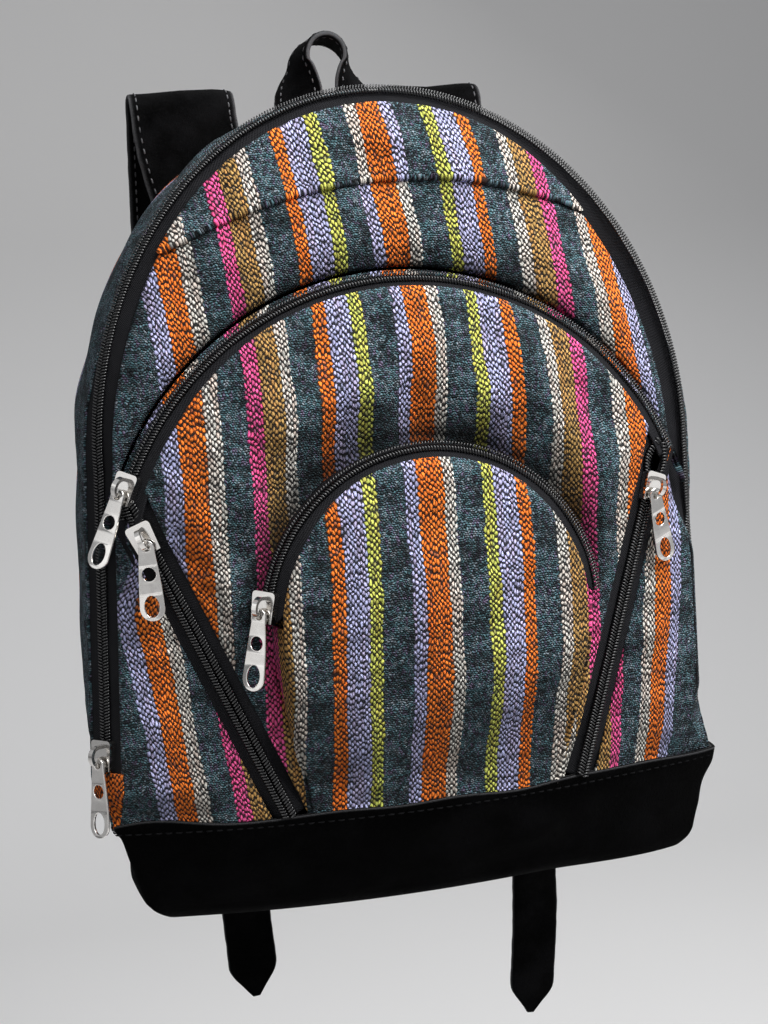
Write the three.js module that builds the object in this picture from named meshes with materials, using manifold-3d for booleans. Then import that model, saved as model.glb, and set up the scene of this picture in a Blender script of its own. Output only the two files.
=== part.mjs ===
// Backpack of striped handwoven cloth on a suede base, with five coil zips and suede straps.
// Millimetres, +Z up, front towards -Y. It hangs by the inside top of the grab loop, which is the origin.
import * as THREE from 'three';
import { mergeVertices } from 'three/addons/utils/BufferGeometryUtils.js';
import Module from 'manifold-3d';

const wasm = await Module();
wasm.setup();

// Cloth and sewing
const GAP = 0.3; // air left between pieces that touch
const CLOTH = 1.6; // woven panel with its backing
const EDGE_SETBACK = 0.7 * CLOTH; // a panel edge stands back from a zip tape by this much more than GAP

// Body of the bag, heights above the base seam
const SEAM_HEIGHT = 50; // base seam above the underside
const SEAM_BULGE = 23.3; // the front seam bows forward by this at the middle
const SEAM_END = 136; // half width of the seam; the hung bag leans, so its sides differ above it
const LEFT_SEAM = 139.5; // the left side's distance from the middle at the seam, were it straight
const LEFT_SHOULDER = 130; // and where the arch starts
const RIGHT_SEAM = 131.5; // the same for the right side
const RIGHT_SHOULDER = 135.5;
const SHOULDER_HEIGHT = 150;
const ARCH_RISE = 156;
const FRONT_LEAN = THREE.MathUtils.degToRad(4.8); // the front leans back towards the top
const BACK_DEPTH = 100; // back of the bag behind the front seam's ends
const BELLY_SIDE = 3.5; // outward swell of the side band between its edges, at the sides
const BELLY_TOP = 2; // and over the top of the arch
const BELLY_RISE = 55; // it grows from the seam over this height
const BACK_TUCK = 14; // the back outline stands in from the front outline by this at the seam
const BACK_TUCK_HEIGHT = 85; // and by nothing above this height
const CRESCENT_BULGE = 6; // swell of the front cloth between the main and the middle zip
const WALL_RISE = 48; // the wall behind the pockets leaves the seam over this height

// Coil zips
const TAPE = 0.8;
const TAPE_HALF = 8.5; // centre line to the outer edge of one tape
const COIL_SPLIT = 1.6; // clear width between the two coils
const COIL_WIDTH = 2.9;
const COIL_HEIGHT = 2.2;
const MAIN_TILT = THREE.MathUtils.degToRad(50); // the main zip faces out to the side by this
const MAIN_FOLD_INNER = THREE.MathUtils.degToRad(-20); // over the arch the inner tape turns to the front
const MAIN_FOLD_OUTER = THREE.MathUtils.degToRad(35); // and the outer tape turns back
const MAIN_END_HEIGHT = 22; // the main zip stops this far above the seam
const EDGE_FULL_HEIGHT = 17; // below this the panel edges draw together towards the seam
const EDGE_FADE = 0.35; // share of the zip's width left between the panel edges at the seam

// Middle pocket, an arc
const MIDDLE_CENTRE_HEIGHT = 93.6;
const MIDDLE_RADIUS = 130;
const MIDDLE_FORWARD = 4;
const MIDDLE_LEAN = THREE.MathUtils.degToRad(0.9);
const MIDDLE_LEFT_END = THREE.MathUtils.degToRad(71); // the left end from the top
const MIDDLE_RIGHT_END = THREE.MathUtils.degToRad(66);
const POCKET_TILT = THREE.MathUtils.degToRad(45); // pocket zips face outward by this
const MIDDLE_BULGE = 15; // swell of the middle pocket over its zip
const MIDDLE_SQUARENESS = 3.6; // how flat the swell stays before it drops to the zip
const MIDDLE_FILL = 110; // the swell grows from the seam over this height

// Small pocket, an arc with sides that run in towards the seam
const SMALL_CENTRE_X = 2.5;
const SMALL_CENTRE_HEIGHT = 79.5;
const SMALL_RADIUS = 72.9;
const SMALL_FORWARD = 25;
const SMALL_LEAN = THREE.MathUtils.degToRad(2);
const SMALL_END = THREE.MathUtils.degToRad(86);
const SMALL_BULGE = 8;
const SMALL_FOOT_HALF = 52; // half width of the small pocket at the seam
const SMALL_FILL = 70; // the small pocket's swell grows from the seam over this height
const POCKET_SKIRT = 24; // width over which the middle cloth rises to the small pocket's seat
const SEAT_RISE = 40; // and height over which the seat leaves the seam

// Slash pockets, straight zips on each side of the small pocket
const SLASH_TOP_INSET = 3.4; // upper end of the zip's line, in from the end of the middle zip
const SLASH_TOP_DROP = 2.9; // and below it
const SLASH_TOP_FORWARD = 6.5;
const SLASH_LEFT_FOOT = 64.8; // lower end of the line at the seam, from the middle
const SLASH_RIGHT_FOOT = 67.5;
const SLASH_SLOPE = 0.35; // the cloth falls back by this share of the way outward
const SLASH_TUCK = 3; // the tapes stop this far short of the line's upper end
const SLASH_REACH = 26; // cloth on each side that is drawn to the zip
const SLASH_BLEND = [20, 10]; // the drawing-in fades out from below to above the zip's upper end
const SLASH_RISE = [12, 45]; // and it grows between these heights above the seam
const CORNER_SWELL = 0.07; // swell of a corner panel as a share of its width

// The line of a slash zip, from the seam to the end of the middle zip
function slashLine(foot, end) {
  return {
    footX: foot,
    topX: MIDDLE_RADIUS * Math.sin(end) - SLASH_TOP_INSET,
    topHeight: MIDDLE_CENTRE_HEIGHT + MIDDLE_RADIUS * Math.cos(end) - SLASH_TOP_DROP,
  };
}

const SLASH_LEFT = slashLine(SLASH_LEFT_FOOT, MIDDLE_LEFT_END);
const SLASH_RIGHT = slashLine(SLASH_RIGHT_FOOT, MIDDLE_RIGHT_END);
const slashOf = (side) => (side < 0 ? SLASH_LEFT : SLASH_RIGHT);

// Sliders and pulls
const SLIDER_LENGTH = 13;
const SLIDER_PLAY = 0.45;
const SLIDER_FLANGE = 1.4;
const SLIDER_TOP = 1.4;
const SLIDER_FLOOR = 1.2;
const SLIDER_TAPER = 0.7; // each side narrows by this towards the closed end
const NECK_WIDTH = 0.7;
const NECK_LENGTH = 2.6;
const BAIL_RADIUS = 3.8;
const BAIL_BAR = 1.5;
const BAIL_WIDTH = 2.2;
const BAIL_LEG = 1.7;
const PULL_THICKNESS = 1.2;
const PULL_LENGTH = 31;
const PULL_EYE_HALF = 4; // half width at the eye end
const PULL_TIP_HALF = 5.4; // half width at the tip
const PULL_PLAY = 0.6;
const PULL_HOLE_RADIUS = 2.9;
const PULL_OVAL = [3.1, 4.6]; // half width and half length of the finger hole
const SLIDER_STAND = 1; // a closed slider stops this far short of the end of its zip
const MAIN_SLIDER_HEIGHT = 31; // rest height of the main slider above the seam
const RIGHT_SLASH_OPEN = 9; // the right slash slider rests this far below the top of its zip
const LEFT_SLASH_SWING = THREE.MathUtils.degToRad(-22); // the pulls hang plumb, turned from the zip's line
const RIGHT_SLASH_SWING = THREE.MathUtils.degToRad(32);

// Suede base
const SUEDE = 2.2;
const RIM_PROUD = 0.8; // the rim stands this far outside the cloth
const RIM_FOLD = 6; // depth of the edge turned in at the rim
const BASE_SIDE = 1.6; // the base stands out behind its front corners by this
const BASE_BACK = 11; // and stands in at the back by this
const BASE_FRONT_CORNER = 10;
const BASE_BACK_CORNER = 16;
const BASE_PROFILE = [[0, 27], [1.5, 21], [6, 15], [15, 10], [30, 5]]; // height and inset, underside to rim

// Straps and grab loop
const STRAP_WIDTH = 50;
const STRAP = 3;
const STRAP_ROOT_X = 52.5; // sewn on the back at this distance from the middle
const TOP_HEIGHT = SHOULDER_HEIGHT + ARCH_RISE; // heights above the seam
const STRAP_SEWN = 94; // the strap's root lies this far below the top of the bag
const STRAP_STAND = 12; // its crest stands this far above the top
const STRAP_ROOT_HEIGHT = TOP_HEIGHT - STRAP_SEWN;
const STRAP_CREST_HEIGHT = TOP_HEIGHT + STRAP_STAND;
const STRAP_CREST_RADIUS = 10;
const STRAP_BOW = 34; // the strap hangs this far behind the back
const STRAP_NECK = 34; // the strap is narrow from this far above the buckle's bar
const STRAP_FOLD = 26; // length of the end turned back round the bar
const BUCKLE_HEIGHT = 82;
const BUCKLE_STANDOFF = 16; // middle of the buckle behind the back of the bag
const BUCKLE_BAR = 3;
const BUCKLE_SLOT = 8;
const BUCKLE_SIDE = 4;
const BUCKLE_THICKNESS = 2.4;
const WEBBING_WIDTH = 25;
const WEBBING = 2.5;
const TAIL_POINT = 14; // length of the cut point at the tail's end
const TAIL_DRIFT = 2; // the tail hangs this far behind the buckle's fold at its end
const TAIL_STRAIGHT = 18; // the adjuster runs straight into the buckle over this length
const ANCHOR_SEWN = 30; // length of the adjuster sewn down at its lower end
const ANCHOR_HEIGHT = -26; // lower end of the adjuster on the back of the base
const LOOP_WIDTH = 24;
const LOOP_THICKNESS = 3;
const LOOP_FOOT_X = 14; // middle of each leg of the grab loop
const LOOP_NECK_X = 11; // middle of each leg where it turns over the crest
const LOOP_SEWN = 34; // the loop's feet lie this far below the top of the bag
const LOOP_STAND = 37; // its crest stands this far above the top
const LOOP_FOOT_HEIGHT = TOP_HEIGHT - LOOP_SEWN;
const LOOP_CREST_HEIGHT = TOP_HEIGHT + LOOP_STAND;
const LOOP_FLAT = 0.6; // each leg lies flat up to this share of its height
const LOOP_TURN = THREE.MathUtils.degToRad(60); // the strip has turned this far at the top of each leg
const SIDES = {
  left: { sign: -1, crestX: -71, buckleX: -72, tailX: -64, tailBow: -1, tailEnd: -140, anchorX: -100 },
  right: { sign: 1, crestX: 51.5, buckleX: 72, tailX: 85, tailBow: 12, tailEnd: -175, anchorX: 100 },
};

// Steps of the curved pieces
const ARCH_STEPS = 30;
const MIDDLE_STEPS = 28;
const SMALL_STEPS = 24;
const SIDE_STEPS = 3;

// Materials
const FINISHES = {
  cloth: { color: 0x3a4648, roughness: 0.95, metalness: 0 },
  patch: { color: 0xb4481c, roughness: 0.95, metalness: 0 },
  tape: { color: 0x17171a, roughness: 0.8, metalness: 0 },
  suede: { color: 0x0d0d0e, roughness: 0.95, metalness: 0 },
  nickel: { color: 0xc9c6c2, roughness: 0.25, metalness: 1 },
};

const { lerp, smoothstep } = THREE.MathUtils;
const RIGHT = new THREE.Vector3(1, 0, 0);

// A point by its distance to the right, forward and above the base seam.
function at(x, forward, height) {
  return new THREE.Vector3(x, -forward, height + SEAM_HEIGHT);
}

// Closed geometry from points and triangles: equal points are joined and faces are turned outward.
function closedGeometry(points, triangles) {
  const raw = new THREE.BufferGeometry();
  raw.setAttribute('position', new THREE.Float32BufferAttribute(points.flatMap((p) => p.toArray()), 3));
  raw.setIndex(triangles.flat());
  const joined = mergeVertices(raw, 2e-3);
  const index = joined.index.array;
  const position = joined.attributes.position;
  const kept = [];
  let volume = 0;
  const corner = [new THREE.Vector3(), new THREE.Vector3(), new THREE.Vector3()];
  for (let i = 0; i < index.length; i += 3) {
    const [a, b, c] = [index[i], index[i + 1], index[i + 2]];
    if (a === b || b === c || c === a) continue;
    kept.push(a, b, c);
    [a, b, c].forEach((v, n) => corner[n].fromBufferAttribute(position, v));
    volume += corner[0].dot(corner[1].clone().cross(corner[2])) / 6;
  }
  if (volume < 0) {
    for (let i = 0; i < kept.length; i += 3) {
      [kept[i + 1], kept[i + 2]] = [kept[i + 2], kept[i + 1]];
    }
  }
  joined.setIndex(kept);
  return joined;
}

// Solid between a front grid and a back grid of points, with walls round the edges that are named open.
function gridSolid(front, back, { ring = false, walls = ['first', 'last', 'start', 'end'] } = {}) {
  const rows = front.length;
  const columns = front[0].length;
  const points = [...front.flat(), ...back.flat()];
  const node = (layer, i, j) => layer * rows * columns + i * columns + (j % columns);
  const triangles = [];
  const quad = (a, b, c, d) => triangles.push([a, b, c], [a, c, d]);
  const spans = ring ? columns : columns - 1;
  for (let i = 0; i < rows - 1; i += 1) {
    for (let j = 0; j < spans; j += 1) {
      quad(node(0, i, j), node(0, i, j + 1), node(0, i + 1, j + 1), node(0, i + 1, j));
      quad(node(1, i, j), node(1, i + 1, j), node(1, i + 1, j + 1), node(1, i, j + 1));
    }
  }
  for (let j = 0; j < spans; j += 1) {
    if (walls.includes('first')) quad(node(0, 0, j + 1), node(0, 0, j), node(1, 0, j), node(1, 0, j + 1));
    const end = rows - 1;
    if (walls.includes('last')) {
      quad(node(0, end, j), node(0, end, j + 1), node(1, end, j + 1), node(1, end, j));
    }
  }
  for (let i = 0; i < rows - 1 && !ring; i += 1) {
    const end = columns - 1;
    if (walls.includes('start')) quad(node(0, i, 0), node(0, i + 1, 0), node(1, i + 1, 0), node(1, i, 0));
    if (walls.includes('end')) {
      quad(node(0, i + 1, end), node(0, i, end), node(1, i, end), node(1, i + 1, end));
    }
  }
  return closedGeometry(points, triangles);
}

// The back of a cloth panel: its front grid set back by the cloth's thickness along the local normal.
function thicken(front, thickness, { ring = false, spine = false } = {}) {
  const rows = front.length;
  const columns = front[0].length;
  const pick = (i, j) => {
    const row = front[Math.min(rows - 1, Math.max(0, i))];
    return row[ring ? (j + columns) % columns : Math.min(columns - 1, Math.max(0, j))];
  };
  const back = front.map((row, i) => row.map((point, j) => {
    const across = pick(i, j + 1).clone().sub(pick(i, j - 1));
    const down = pick(i + 1, j).clone().sub(pick(i - 1, j));
    const normal = across.cross(down).normalize();
    const onSpine = spine && i === rows - 1;
    if (onSpine || normal.lengthSq() < 0.5) normal.set(0, -1, 0);
    if (normal.y > 0) normal.negate();
    return point.clone().addScaledVector(normal, -thickness);
  }));
  return back;
}

// Solid swept by a flat section through frames: an origin and the directions of the section's two axes.
function sweepSolid(section, frames) {
  const points = [];
  const triangles = [];
  const count = section.length;
  const sectionAt = (frame, index) => (frame.section ?? section)[index];
  frames.forEach((frame) => {
    for (let k = 0; k < count; k += 1) {
      const [a, b] = sectionAt(frame, k);
      points.push(frame.origin.clone().addScaledVector(frame.a, a).addScaledVector(frame.b, b));
    }
  });
  for (let f = 0; f < frames.length - 1; f += 1) {
    for (let k = 0; k < count; k += 1) {
      const next = (k + 1) % count;
      const low = f * count;
      const high = low + count;
      triangles.push([low + k, low + next, high + next], [low + k, high + next, high + k]);
    }
  }
  const flat = section.map(([a, b]) => new THREE.Vector2(a, b));
  const caps = THREE.ShapeUtils.triangulateShape(flat, []);
  const turned = THREE.ShapeUtils.isClockWise(flat);
  const last = (frames.length - 1) * count;
  caps.forEach(([a, b, c]) => {
    const [p, q, r] = turned ? [a, c, b] : [a, b, c];
    triangles.push([q, p, r], [last + p, last + q, last + r]);
  });
  return closedGeometry(points, triangles);
}

// Boolean work on closed geometries
function toSolid(geometry) {
  const bare = geometry.clone();
  bare.deleteAttribute('normal');
  bare.deleteAttribute('uv');
  const joined = mergeVertices(bare, 1e-4);
  return new wasm.Manifold(new wasm.Mesh({
    numProp: 3,
    vertProperties: new Float32Array(joined.attributes.position.array),
    triVerts: new Uint32Array(joined.index.array),
  }));
}

function toGeometry(solid) {
  const mesh = solid.getMesh();
  const geometry = new THREE.BufferGeometry();
  geometry.setAttribute('position', new THREE.Float32BufferAttribute(mesh.vertProperties, 3));
  geometry.setIndex(Array.from(mesh.triVerts));
  return geometry;
}

// Zip tracks: each gives a frame at a place t, with the way along, the outward normal and the way across.
function zipFrame(point, along, normal) {
  return { point, along, normal, across: along.clone().cross(normal) };
}

function besideZip(frame, across, above) {
  return frame.point.clone().addScaledVector(frame.across, across).addScaledVector(frame.normal, above);
}

// The main zip climbs the left side (t 0 to 1), follows the arch (1 to 2) and comes down the right (2 to 3).
// Over the arch one tape can be folded about the coil by a given angle.
function mainZip(t, fold = 0) {
  const plane = new THREE.Vector2();
  const along = new THREE.Vector2();
  const side = t < 1.5 ? -1 : 1;
  const seam = side < 0 ? LEFT_SEAM : RIGHT_SEAM;
  const shoulder = side < 0 ? LEFT_SHOULDER : RIGHT_SHOULDER;
  if (t > 1 && t < 2) {
    const angle = Math.PI * (2 - t);
    plane.set(shoulder * Math.cos(angle), SHOULDER_HEIGHT + ARCH_RISE * Math.sin(angle));
    along.set(shoulder * Math.sin(angle), -ARCH_RISE * Math.cos(angle));
  } else {
    const share = Math.min(t, 3 - t);
    plane.set(side * lerp(seam, shoulder, share), SHOULDER_HEIGHT * share);
    along.set(seam - shoulder, -side * SHOULDER_HEIGHT);
  }
  along.normalize();
  const rise = new THREE.Vector3(0, Math.sin(FRONT_LEAN), Math.cos(FRONT_LEAN));
  const facing = new THREE.Vector3(0, -Math.cos(FRONT_LEAN), Math.sin(FRONT_LEAN));
  const place = (v) => RIGHT.clone().multiplyScalar(v.x).addScaledVector(rise, v.y);
  const outward = place(new THREE.Vector2(-along.y, along.x));
  const tilt = MAIN_TILT + fold * smoothstep(Math.min(t, 3 - t), 1, 1.15);
  const normal = outward.multiplyScalar(Math.sin(tilt)).addScaledVector(facing, Math.cos(tilt));
  return zipFrame(place(plane).add(at(0, 0, 0)), place(along), normal);
}

// A pocket zip on an arc: t is the angle from the top, positive to the right.
function arcZip({ centre, radius, lean, tilt }, t) {
  const rise = new THREE.Vector3(0, Math.sin(lean), Math.cos(lean));
  const facing = new THREE.Vector3(0, -Math.cos(lean), Math.sin(lean));
  const radial = RIGHT.clone().multiplyScalar(Math.sin(t)).addScaledVector(rise, Math.cos(t));
  const along = RIGHT.clone().multiplyScalar(Math.cos(t)).addScaledVector(rise, -Math.sin(t));
  const normal = radial.clone().multiplyScalar(Math.sin(tilt)).addScaledVector(facing, Math.cos(tilt));
  return zipFrame(centre.clone().addScaledVector(radial, radius), along, normal);
}

const MIDDLE_ARC = {
  centre: at(0, MIDDLE_FORWARD, MIDDLE_CENTRE_HEIGHT),
  radius: MIDDLE_RADIUS,
  lean: MIDDLE_LEAN,
  tilt: POCKET_TILT,
};
const SMALL_ARC = {
  centre: at(SMALL_CENTRE_X, SMALL_FORWARD, SMALL_CENTRE_HEIGHT),
  radius: SMALL_RADIUS,
  lean: SMALL_LEAN,
  tilt: POCKET_TILT,
};
const middleZip = (t) => arcZip(MIDDLE_ARC, t);
const smallZip = (t) => arcZip(SMALL_ARC, t);

// How far forward each surface lies, by place across and height above the seam
function seamForward(x) {
  return SEAM_BULGE * (1 - (x / SEAM_END) ** 2);
}

// Near the seam a side runs to the seam's end: its distance from the middle as a share of the straight side's
function drawnIn(t, height) {
  const seam = t < 1.5 ? LEFT_SEAM : RIGHT_SEAM;
  return lerp(SEAM_END / seam, 1, smoothstep(height, 0, EDGE_FULL_HEIGHT));
}

function middlePlane(height) {
  return MIDDLE_FORWARD - (height - MIDDLE_CENTRE_HEIGHT) * Math.tan(MIDDLE_LEAN);
}

function smallPlane(height) {
  return SMALL_FORWARD - (height - SMALL_CENTRE_HEIGHT) * Math.tan(SMALL_LEAN);
}

// A pocket zip's outer tape edge lies this far behind the plane of its arc, its inner edge as far in front.
const POCKET_EDGE = TAPE_HALF + GAP + EDGE_SETBACK;
const CORNER_EDGE = TAPE_HALF + GAP + 0.25 * EDGE_SETBACK;
const POCKET_SEAT = (TAPE_HALF + TAPE) * Math.sin(POCKET_TILT) + GAP;
const POCKET_RISE = POCKET_EDGE * Math.sin(POCKET_TILT);
const POCKET_REACH = POCKET_EDGE * Math.cos(POCKET_TILT);
const PANEL_ABOVE = 0.4 * CLOTH - TAPE / 2; // face of a panel above the face of the tape beside it

// The wall between the main compartment and the front pockets, seated behind the middle zip's outer tape.
function wallForward(x, height) {
  const plate = middlePlane(height) - POCKET_SEAT;
  const seam = seamForward(x) - 2 * (CLOTH + GAP);
  return lerp(seam, plate, smoothstep(height, 0, WALL_RISE));
}

function slashForward(side, x, height) {
  const { footX, topX, topHeight } = slashOf(side);
  const share = height / topHeight;
  const lineX = lerp(footX, topX, share);
  return lerp(seamForward(footX), SLASH_TOP_FORWARD, share) - SLASH_SLOPE * (side * x - lineX);
}

function slashDistance(side, x, height) {
  const { footX, topX, topHeight } = slashOf(side);
  return Math.abs(side * x - lerp(footX, topX, height / topHeight));
}

// The cloth of the middle pocket: a swell that is flat behind the small pocket and drawn to the slash zips.
function middleForward(x, height) {
  const radius = Math.hypot(x, Math.max(0, height - MIDDLE_CENTRE_HEIGHT)) / (MIDDLE_RADIUS - POCKET_REACH);
  const edge = middlePlane(height) + POCKET_RISE + PANEL_ABOVE;
  const swell = edge + MIDDLE_BULGE * (1 - radius ** MIDDLE_SQUARENESS);
  const low = seamForward(x) - CLOTH - GAP;
  let forward = lerp(low, swell, smoothstep(height, 0, MIDDLE_FILL));
  const seat = smallPlane(height) - POCKET_SEAT;
  const fromSmall = Math.hypot(x - SMALL_CENTRE_X, Math.max(0, height - SMALL_CENTRE_HEIGHT));
  const seatEdge = SMALL_RADIUS + POCKET_REACH;
  const drawn = 1 - smoothstep(fromSmall, seatEdge, seatEdge + POCKET_SKIRT);
  forward = lerp(forward, seat, drawn * smoothstep(height, 0, SEAT_RISE));
  const side = Math.sign(x) || 1;
  const slash = 1 - smoothstep(slashDistance(side, x, height), POCKET_EDGE + 1, SLASH_REACH);
  const { topHeight } = slashOf(side);
  const belowArc = 1 - smoothstep(height, topHeight - SLASH_BLEND[0], topHeight + SLASH_BLEND[1]);
  return lerp(forward, slashForward(side, x, height), slash * belowArc * smoothstep(height, ...SLASH_RISE));
}

function smallForward(x, height) {
  const above = Math.max(0, height - SMALL_CENTRE_HEIGHT);
  const radius = Math.hypot(x - SMALL_CENTRE_X, above) / (SMALL_RADIUS - POCKET_REACH);
  const edge = smallPlane(height) + POCKET_RISE + PANEL_ABOVE;
  const swell = edge + SMALL_BULGE * (1 - radius ** 2);
  return lerp(seamForward(x), swell, smoothstep(height, 0, SMALL_FILL));
}

// Panel edges beside the main zip. Below the end of the zip they draw together towards the seam.
function mainEdge(t, across, above) {
  const frame = mainZip(t, across > 0 ? MAIN_FOLD_INNER : MAIN_FOLD_OUTER);
  const height = SHOULDER_HEIGHT * Math.min(t, 3 - t, 1);
  const fade = lerp(EDGE_FADE, 1, smoothstep(height, 0, EDGE_FULL_HEIGHT));
  const point = besideZip(frame, across * fade, above);
  point.x *= drawnIn(t, height);
  return point;
}

const sideT = (height) => height / SHOULDER_HEIGHT;

const CORNER_TOP = 0.84 * SLASH_LEFT.topHeight; // upper end of the left corner panel
const CORNER_RIGHT_TOP = 0.84 * SLASH_RIGHT.topHeight; // and of the right one

// Stations along the front outline, from the left end of the seam to the right end
function outlineStations() {
  const low = [GAP, EDGE_FULL_HEIGHT / 2, EDGE_FULL_HEIGHT];
  const high = range(EDGE_FULL_HEIGHT, CORNER_TOP, SIDE_STEPS).slice(1);
  const side = [...low, ...high].map(sideT);
  const arch = [];
  for (let k = 0; k <= ARCH_STEPS; k += 1) arch.push(1 + k / ARCH_STEPS);
  return [...side, ...arch, ...side.map((t) => 3 - t).reverse()];
}

// Front panel: from the main zip inward, under the middle zip's outer tape, then on behind the pockets.
function frontPanel() {
  const rows = [[], [], [], [], [], []];
  outlineStations().forEach((t) => {
    const onArch = t >= 1 && t <= 2;
    const height = SHOULDER_HEIGHT * Math.min(t, 3 - t, 1);
    const outer = onArch ? mainEdge(t, POCKET_EDGE, PANEL_ABOVE) : behindCorner(t < 1 ? -1 : 1, height);
    const seatRadius = MIDDLE_RADIUS + POCKET_REACH;
    let inner;
    if (onArch) {
      const angle = lerp(-MIDDLE_LEFT_END, MIDDLE_RIGHT_END, t - 1);
      const limit = Math.abs(outer.x) + 1e-3;
      const x = THREE.MathUtils.clamp(seatRadius * Math.sin(angle), 2 - limit, limit - 2);
      const up = MIDDLE_CENTRE_HEIGHT + seatRadius * Math.cos(angle);
      inner = at(x, wallForward(x, up), up);
    } else {
      const x = outer.x - Math.sign(outer.x) * 6;
      inner = at(x, wallForward(x, height), height);
    }
    const spineShare = onArch ? 1 : height / SHOULDER_HEIGHT;
    const spineHeight = lerp(GAP, MIDDLE_CENTRE_HEIGHT, spineShare);
    const swell = onArch ? CRESCENT_BULGE * Math.sin(Math.PI * (t - 1)) : 0;
    [0, 0.35, 0.7, 1].forEach((share, row) => {
      const point = outer.clone().lerp(inner, share);
      point.y -= swell * 4 * share * (1 - share);
      rows[row].push(point);
    });
    const innerHeight = inner.z - SEAM_HEIGHT;
    const halfX = inner.x / 2;
    const halfHeight = lerp(innerHeight, spineHeight, 0.5);
    rows[4].push(at(halfX, wallForward(halfX, halfHeight), halfHeight));
    rows[5].push(at(0, wallForward(0, spineHeight), spineHeight));
  });
  return gridSolid(rows, thicken(rows, CLOTH, { spine: true }), { walls: ['first', 'start', 'end'] });
}

// Back outline of the bag at a station of the front outline, with the way outward from it
function backStation(t) {
  const frame = mainZip(t);
  const outward = frame.along.clone().cross(new THREE.Vector3(0, 1, 0));
  outward.y = 0;
  outward.normalize();
  const height = SHOULDER_HEIGHT * Math.min(t, 3 - t, 1);
  const tuck = BACK_TUCK * (1 - smoothstep(height, 0, BACK_TUCK_HEIGHT));
  const point = frame.point.clone().addScaledVector(outward, -tuck);
  point.x *= drawnIn(t, height);
  if (t < 1 || t > 2) point.z = SEAM_HEIGHT + height;
  return { point, outward, height };
}

// Outward swell of the side band at a place on the outline
function bellyAt(t) {
  const height = SHOULDER_HEIGHT * Math.min(t, 3 - t, 1);
  const toSide = t > 1 && t < 2 ? Math.abs(Math.cos(Math.PI * (2 - t))) : 1;
  return lerp(BELLY_TOP, BELLY_SIDE, toSide * smoothstep(height, 0, BELLY_RISE));
}

// Gusset: the side band from the main zip's outer tape back to the back panel.
function gusset() {
  const rows = [];
  const inner = [];
  const shares = [0, 0.2, 0.45, 0.72, 1];
  const backLine = BACK_DEPTH - CLOTH - GAP;
  shares.forEach((share) => {
    const line = [];
    const lineInner = [];
    outlineStations().forEach((t) => {
      const front = mainEdge(t, -POCKET_EDGE, PANEL_ABOVE);
      const { point: back, outward, height } = backStation(t);
      const point = front.clone().lerp(back, share);
      point.y = lerp(front.y, backLine, share);
      point.addScaledVector(outward, bellyAt(t) * 4 * share * (1 - share));
      if (t < 1 || t > 2) point.z = SEAM_HEIGHT + height;
      line.push(point);
      lineInner.push(point.clone().addScaledVector(outward, -CLOTH));
    });
    rows.push(line);
    inner.push(lineInner);
  });
  return gridSolid(rows, inner);
}

// Back panel: a flat sheet with the outline of the gusset's back edge.
function backPanel() {
  const shape = new THREE.Shape();
  outlineStations().forEach((t, n) => {
    const { point } = backStation(t);
    if (n === 0) shape.moveTo(point.x, point.z);
    else shape.lineTo(point.x, point.z);
  });
  shape.closePath();
  const sheet = extrude(shape, CLOTH, 1);
  sheet.rotateX(Math.PI / 2);
  sheet.translate(0, BACK_DEPTH, 0);
  return sheet;
}

// A cloth panel as a web of rings from its outline to its middle point.
// A ring falls on the seat of what it carries.
function webPanel(outline, middle, forward, shares, seatRadius = 0) {
  const rows = shares.map((share) => outline.map(([x, height]) => {
    const reach = Math.hypot(x - middle[0], height - middle[1]);
    const seat = Math.max(0.15, 1 - seatRadius / reach);
    const inward = share <= 1 ? share * seat : lerp(seat, 1, share - 1);
    const px = lerp(x, middle[0], inward);
    const ph = lerp(height, middle[1], inward);
    return at(px, forward(px, ph), ph);
  }));
  return gridSolid(rows, thicken(rows, CLOTH, { ring: true, spine: true }), { ring: true, walls: ['first'] });
}

// The inner edge line of a slash zip at a height: place across, for the panel towards the middle.
function slashEdgeX(side, height, beyond) {
  const { footX, topX, topHeight } = slashOf(side);
  const slant = Math.hypot(topX - footX, topHeight) / topHeight;
  return side * (lerp(footX, topX, height / topHeight) + beyond * slant);
}

function middlePanel() {
  const outline = [];
  const radius = MIDDLE_RADIUS - POCKET_REACH;
  const short = THREE.MathUtils.degToRad(4);
  for (let k = 0; k <= MIDDLE_STEPS; k += 1) {
    const angle = lerp(short - MIDDLE_LEFT_END, MIDDLE_RIGHT_END - short, k / MIDDLE_STEPS);
    outline.push([radius * Math.sin(angle), MIDDLE_CENTRE_HEIGHT + radius * Math.cos(angle)]);
  }
  const shares = [0.92, 0.75, 0.55, 0.35, 0.15];
  const slashSide = (side) => shares.map((share) => {
    const height = share * slashOf(side).topHeight;
    return [slashEdgeX(side, height, -POCKET_EDGE), height];
  });
  const feet = [1, -1].map((side) => slashEdgeX(side, 0, -POCKET_EDGE));
  outline.push(...slashSide(1));
  for (let k = 0; k <= 6; k += 1) outline.push([lerp(...feet, k / 6), GAP]);
  outline.push(...slashSide(-1).reverse());
  const seat = SMALL_RADIUS + POCKET_REACH;
  const middle = [SMALL_CENTRE_X, SMALL_CENTRE_HEIGHT];
  return webPanel(outline, middle, middleForward, [0, 0.35, 0.7, 1, 1.4, 2], seat);
}

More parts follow.
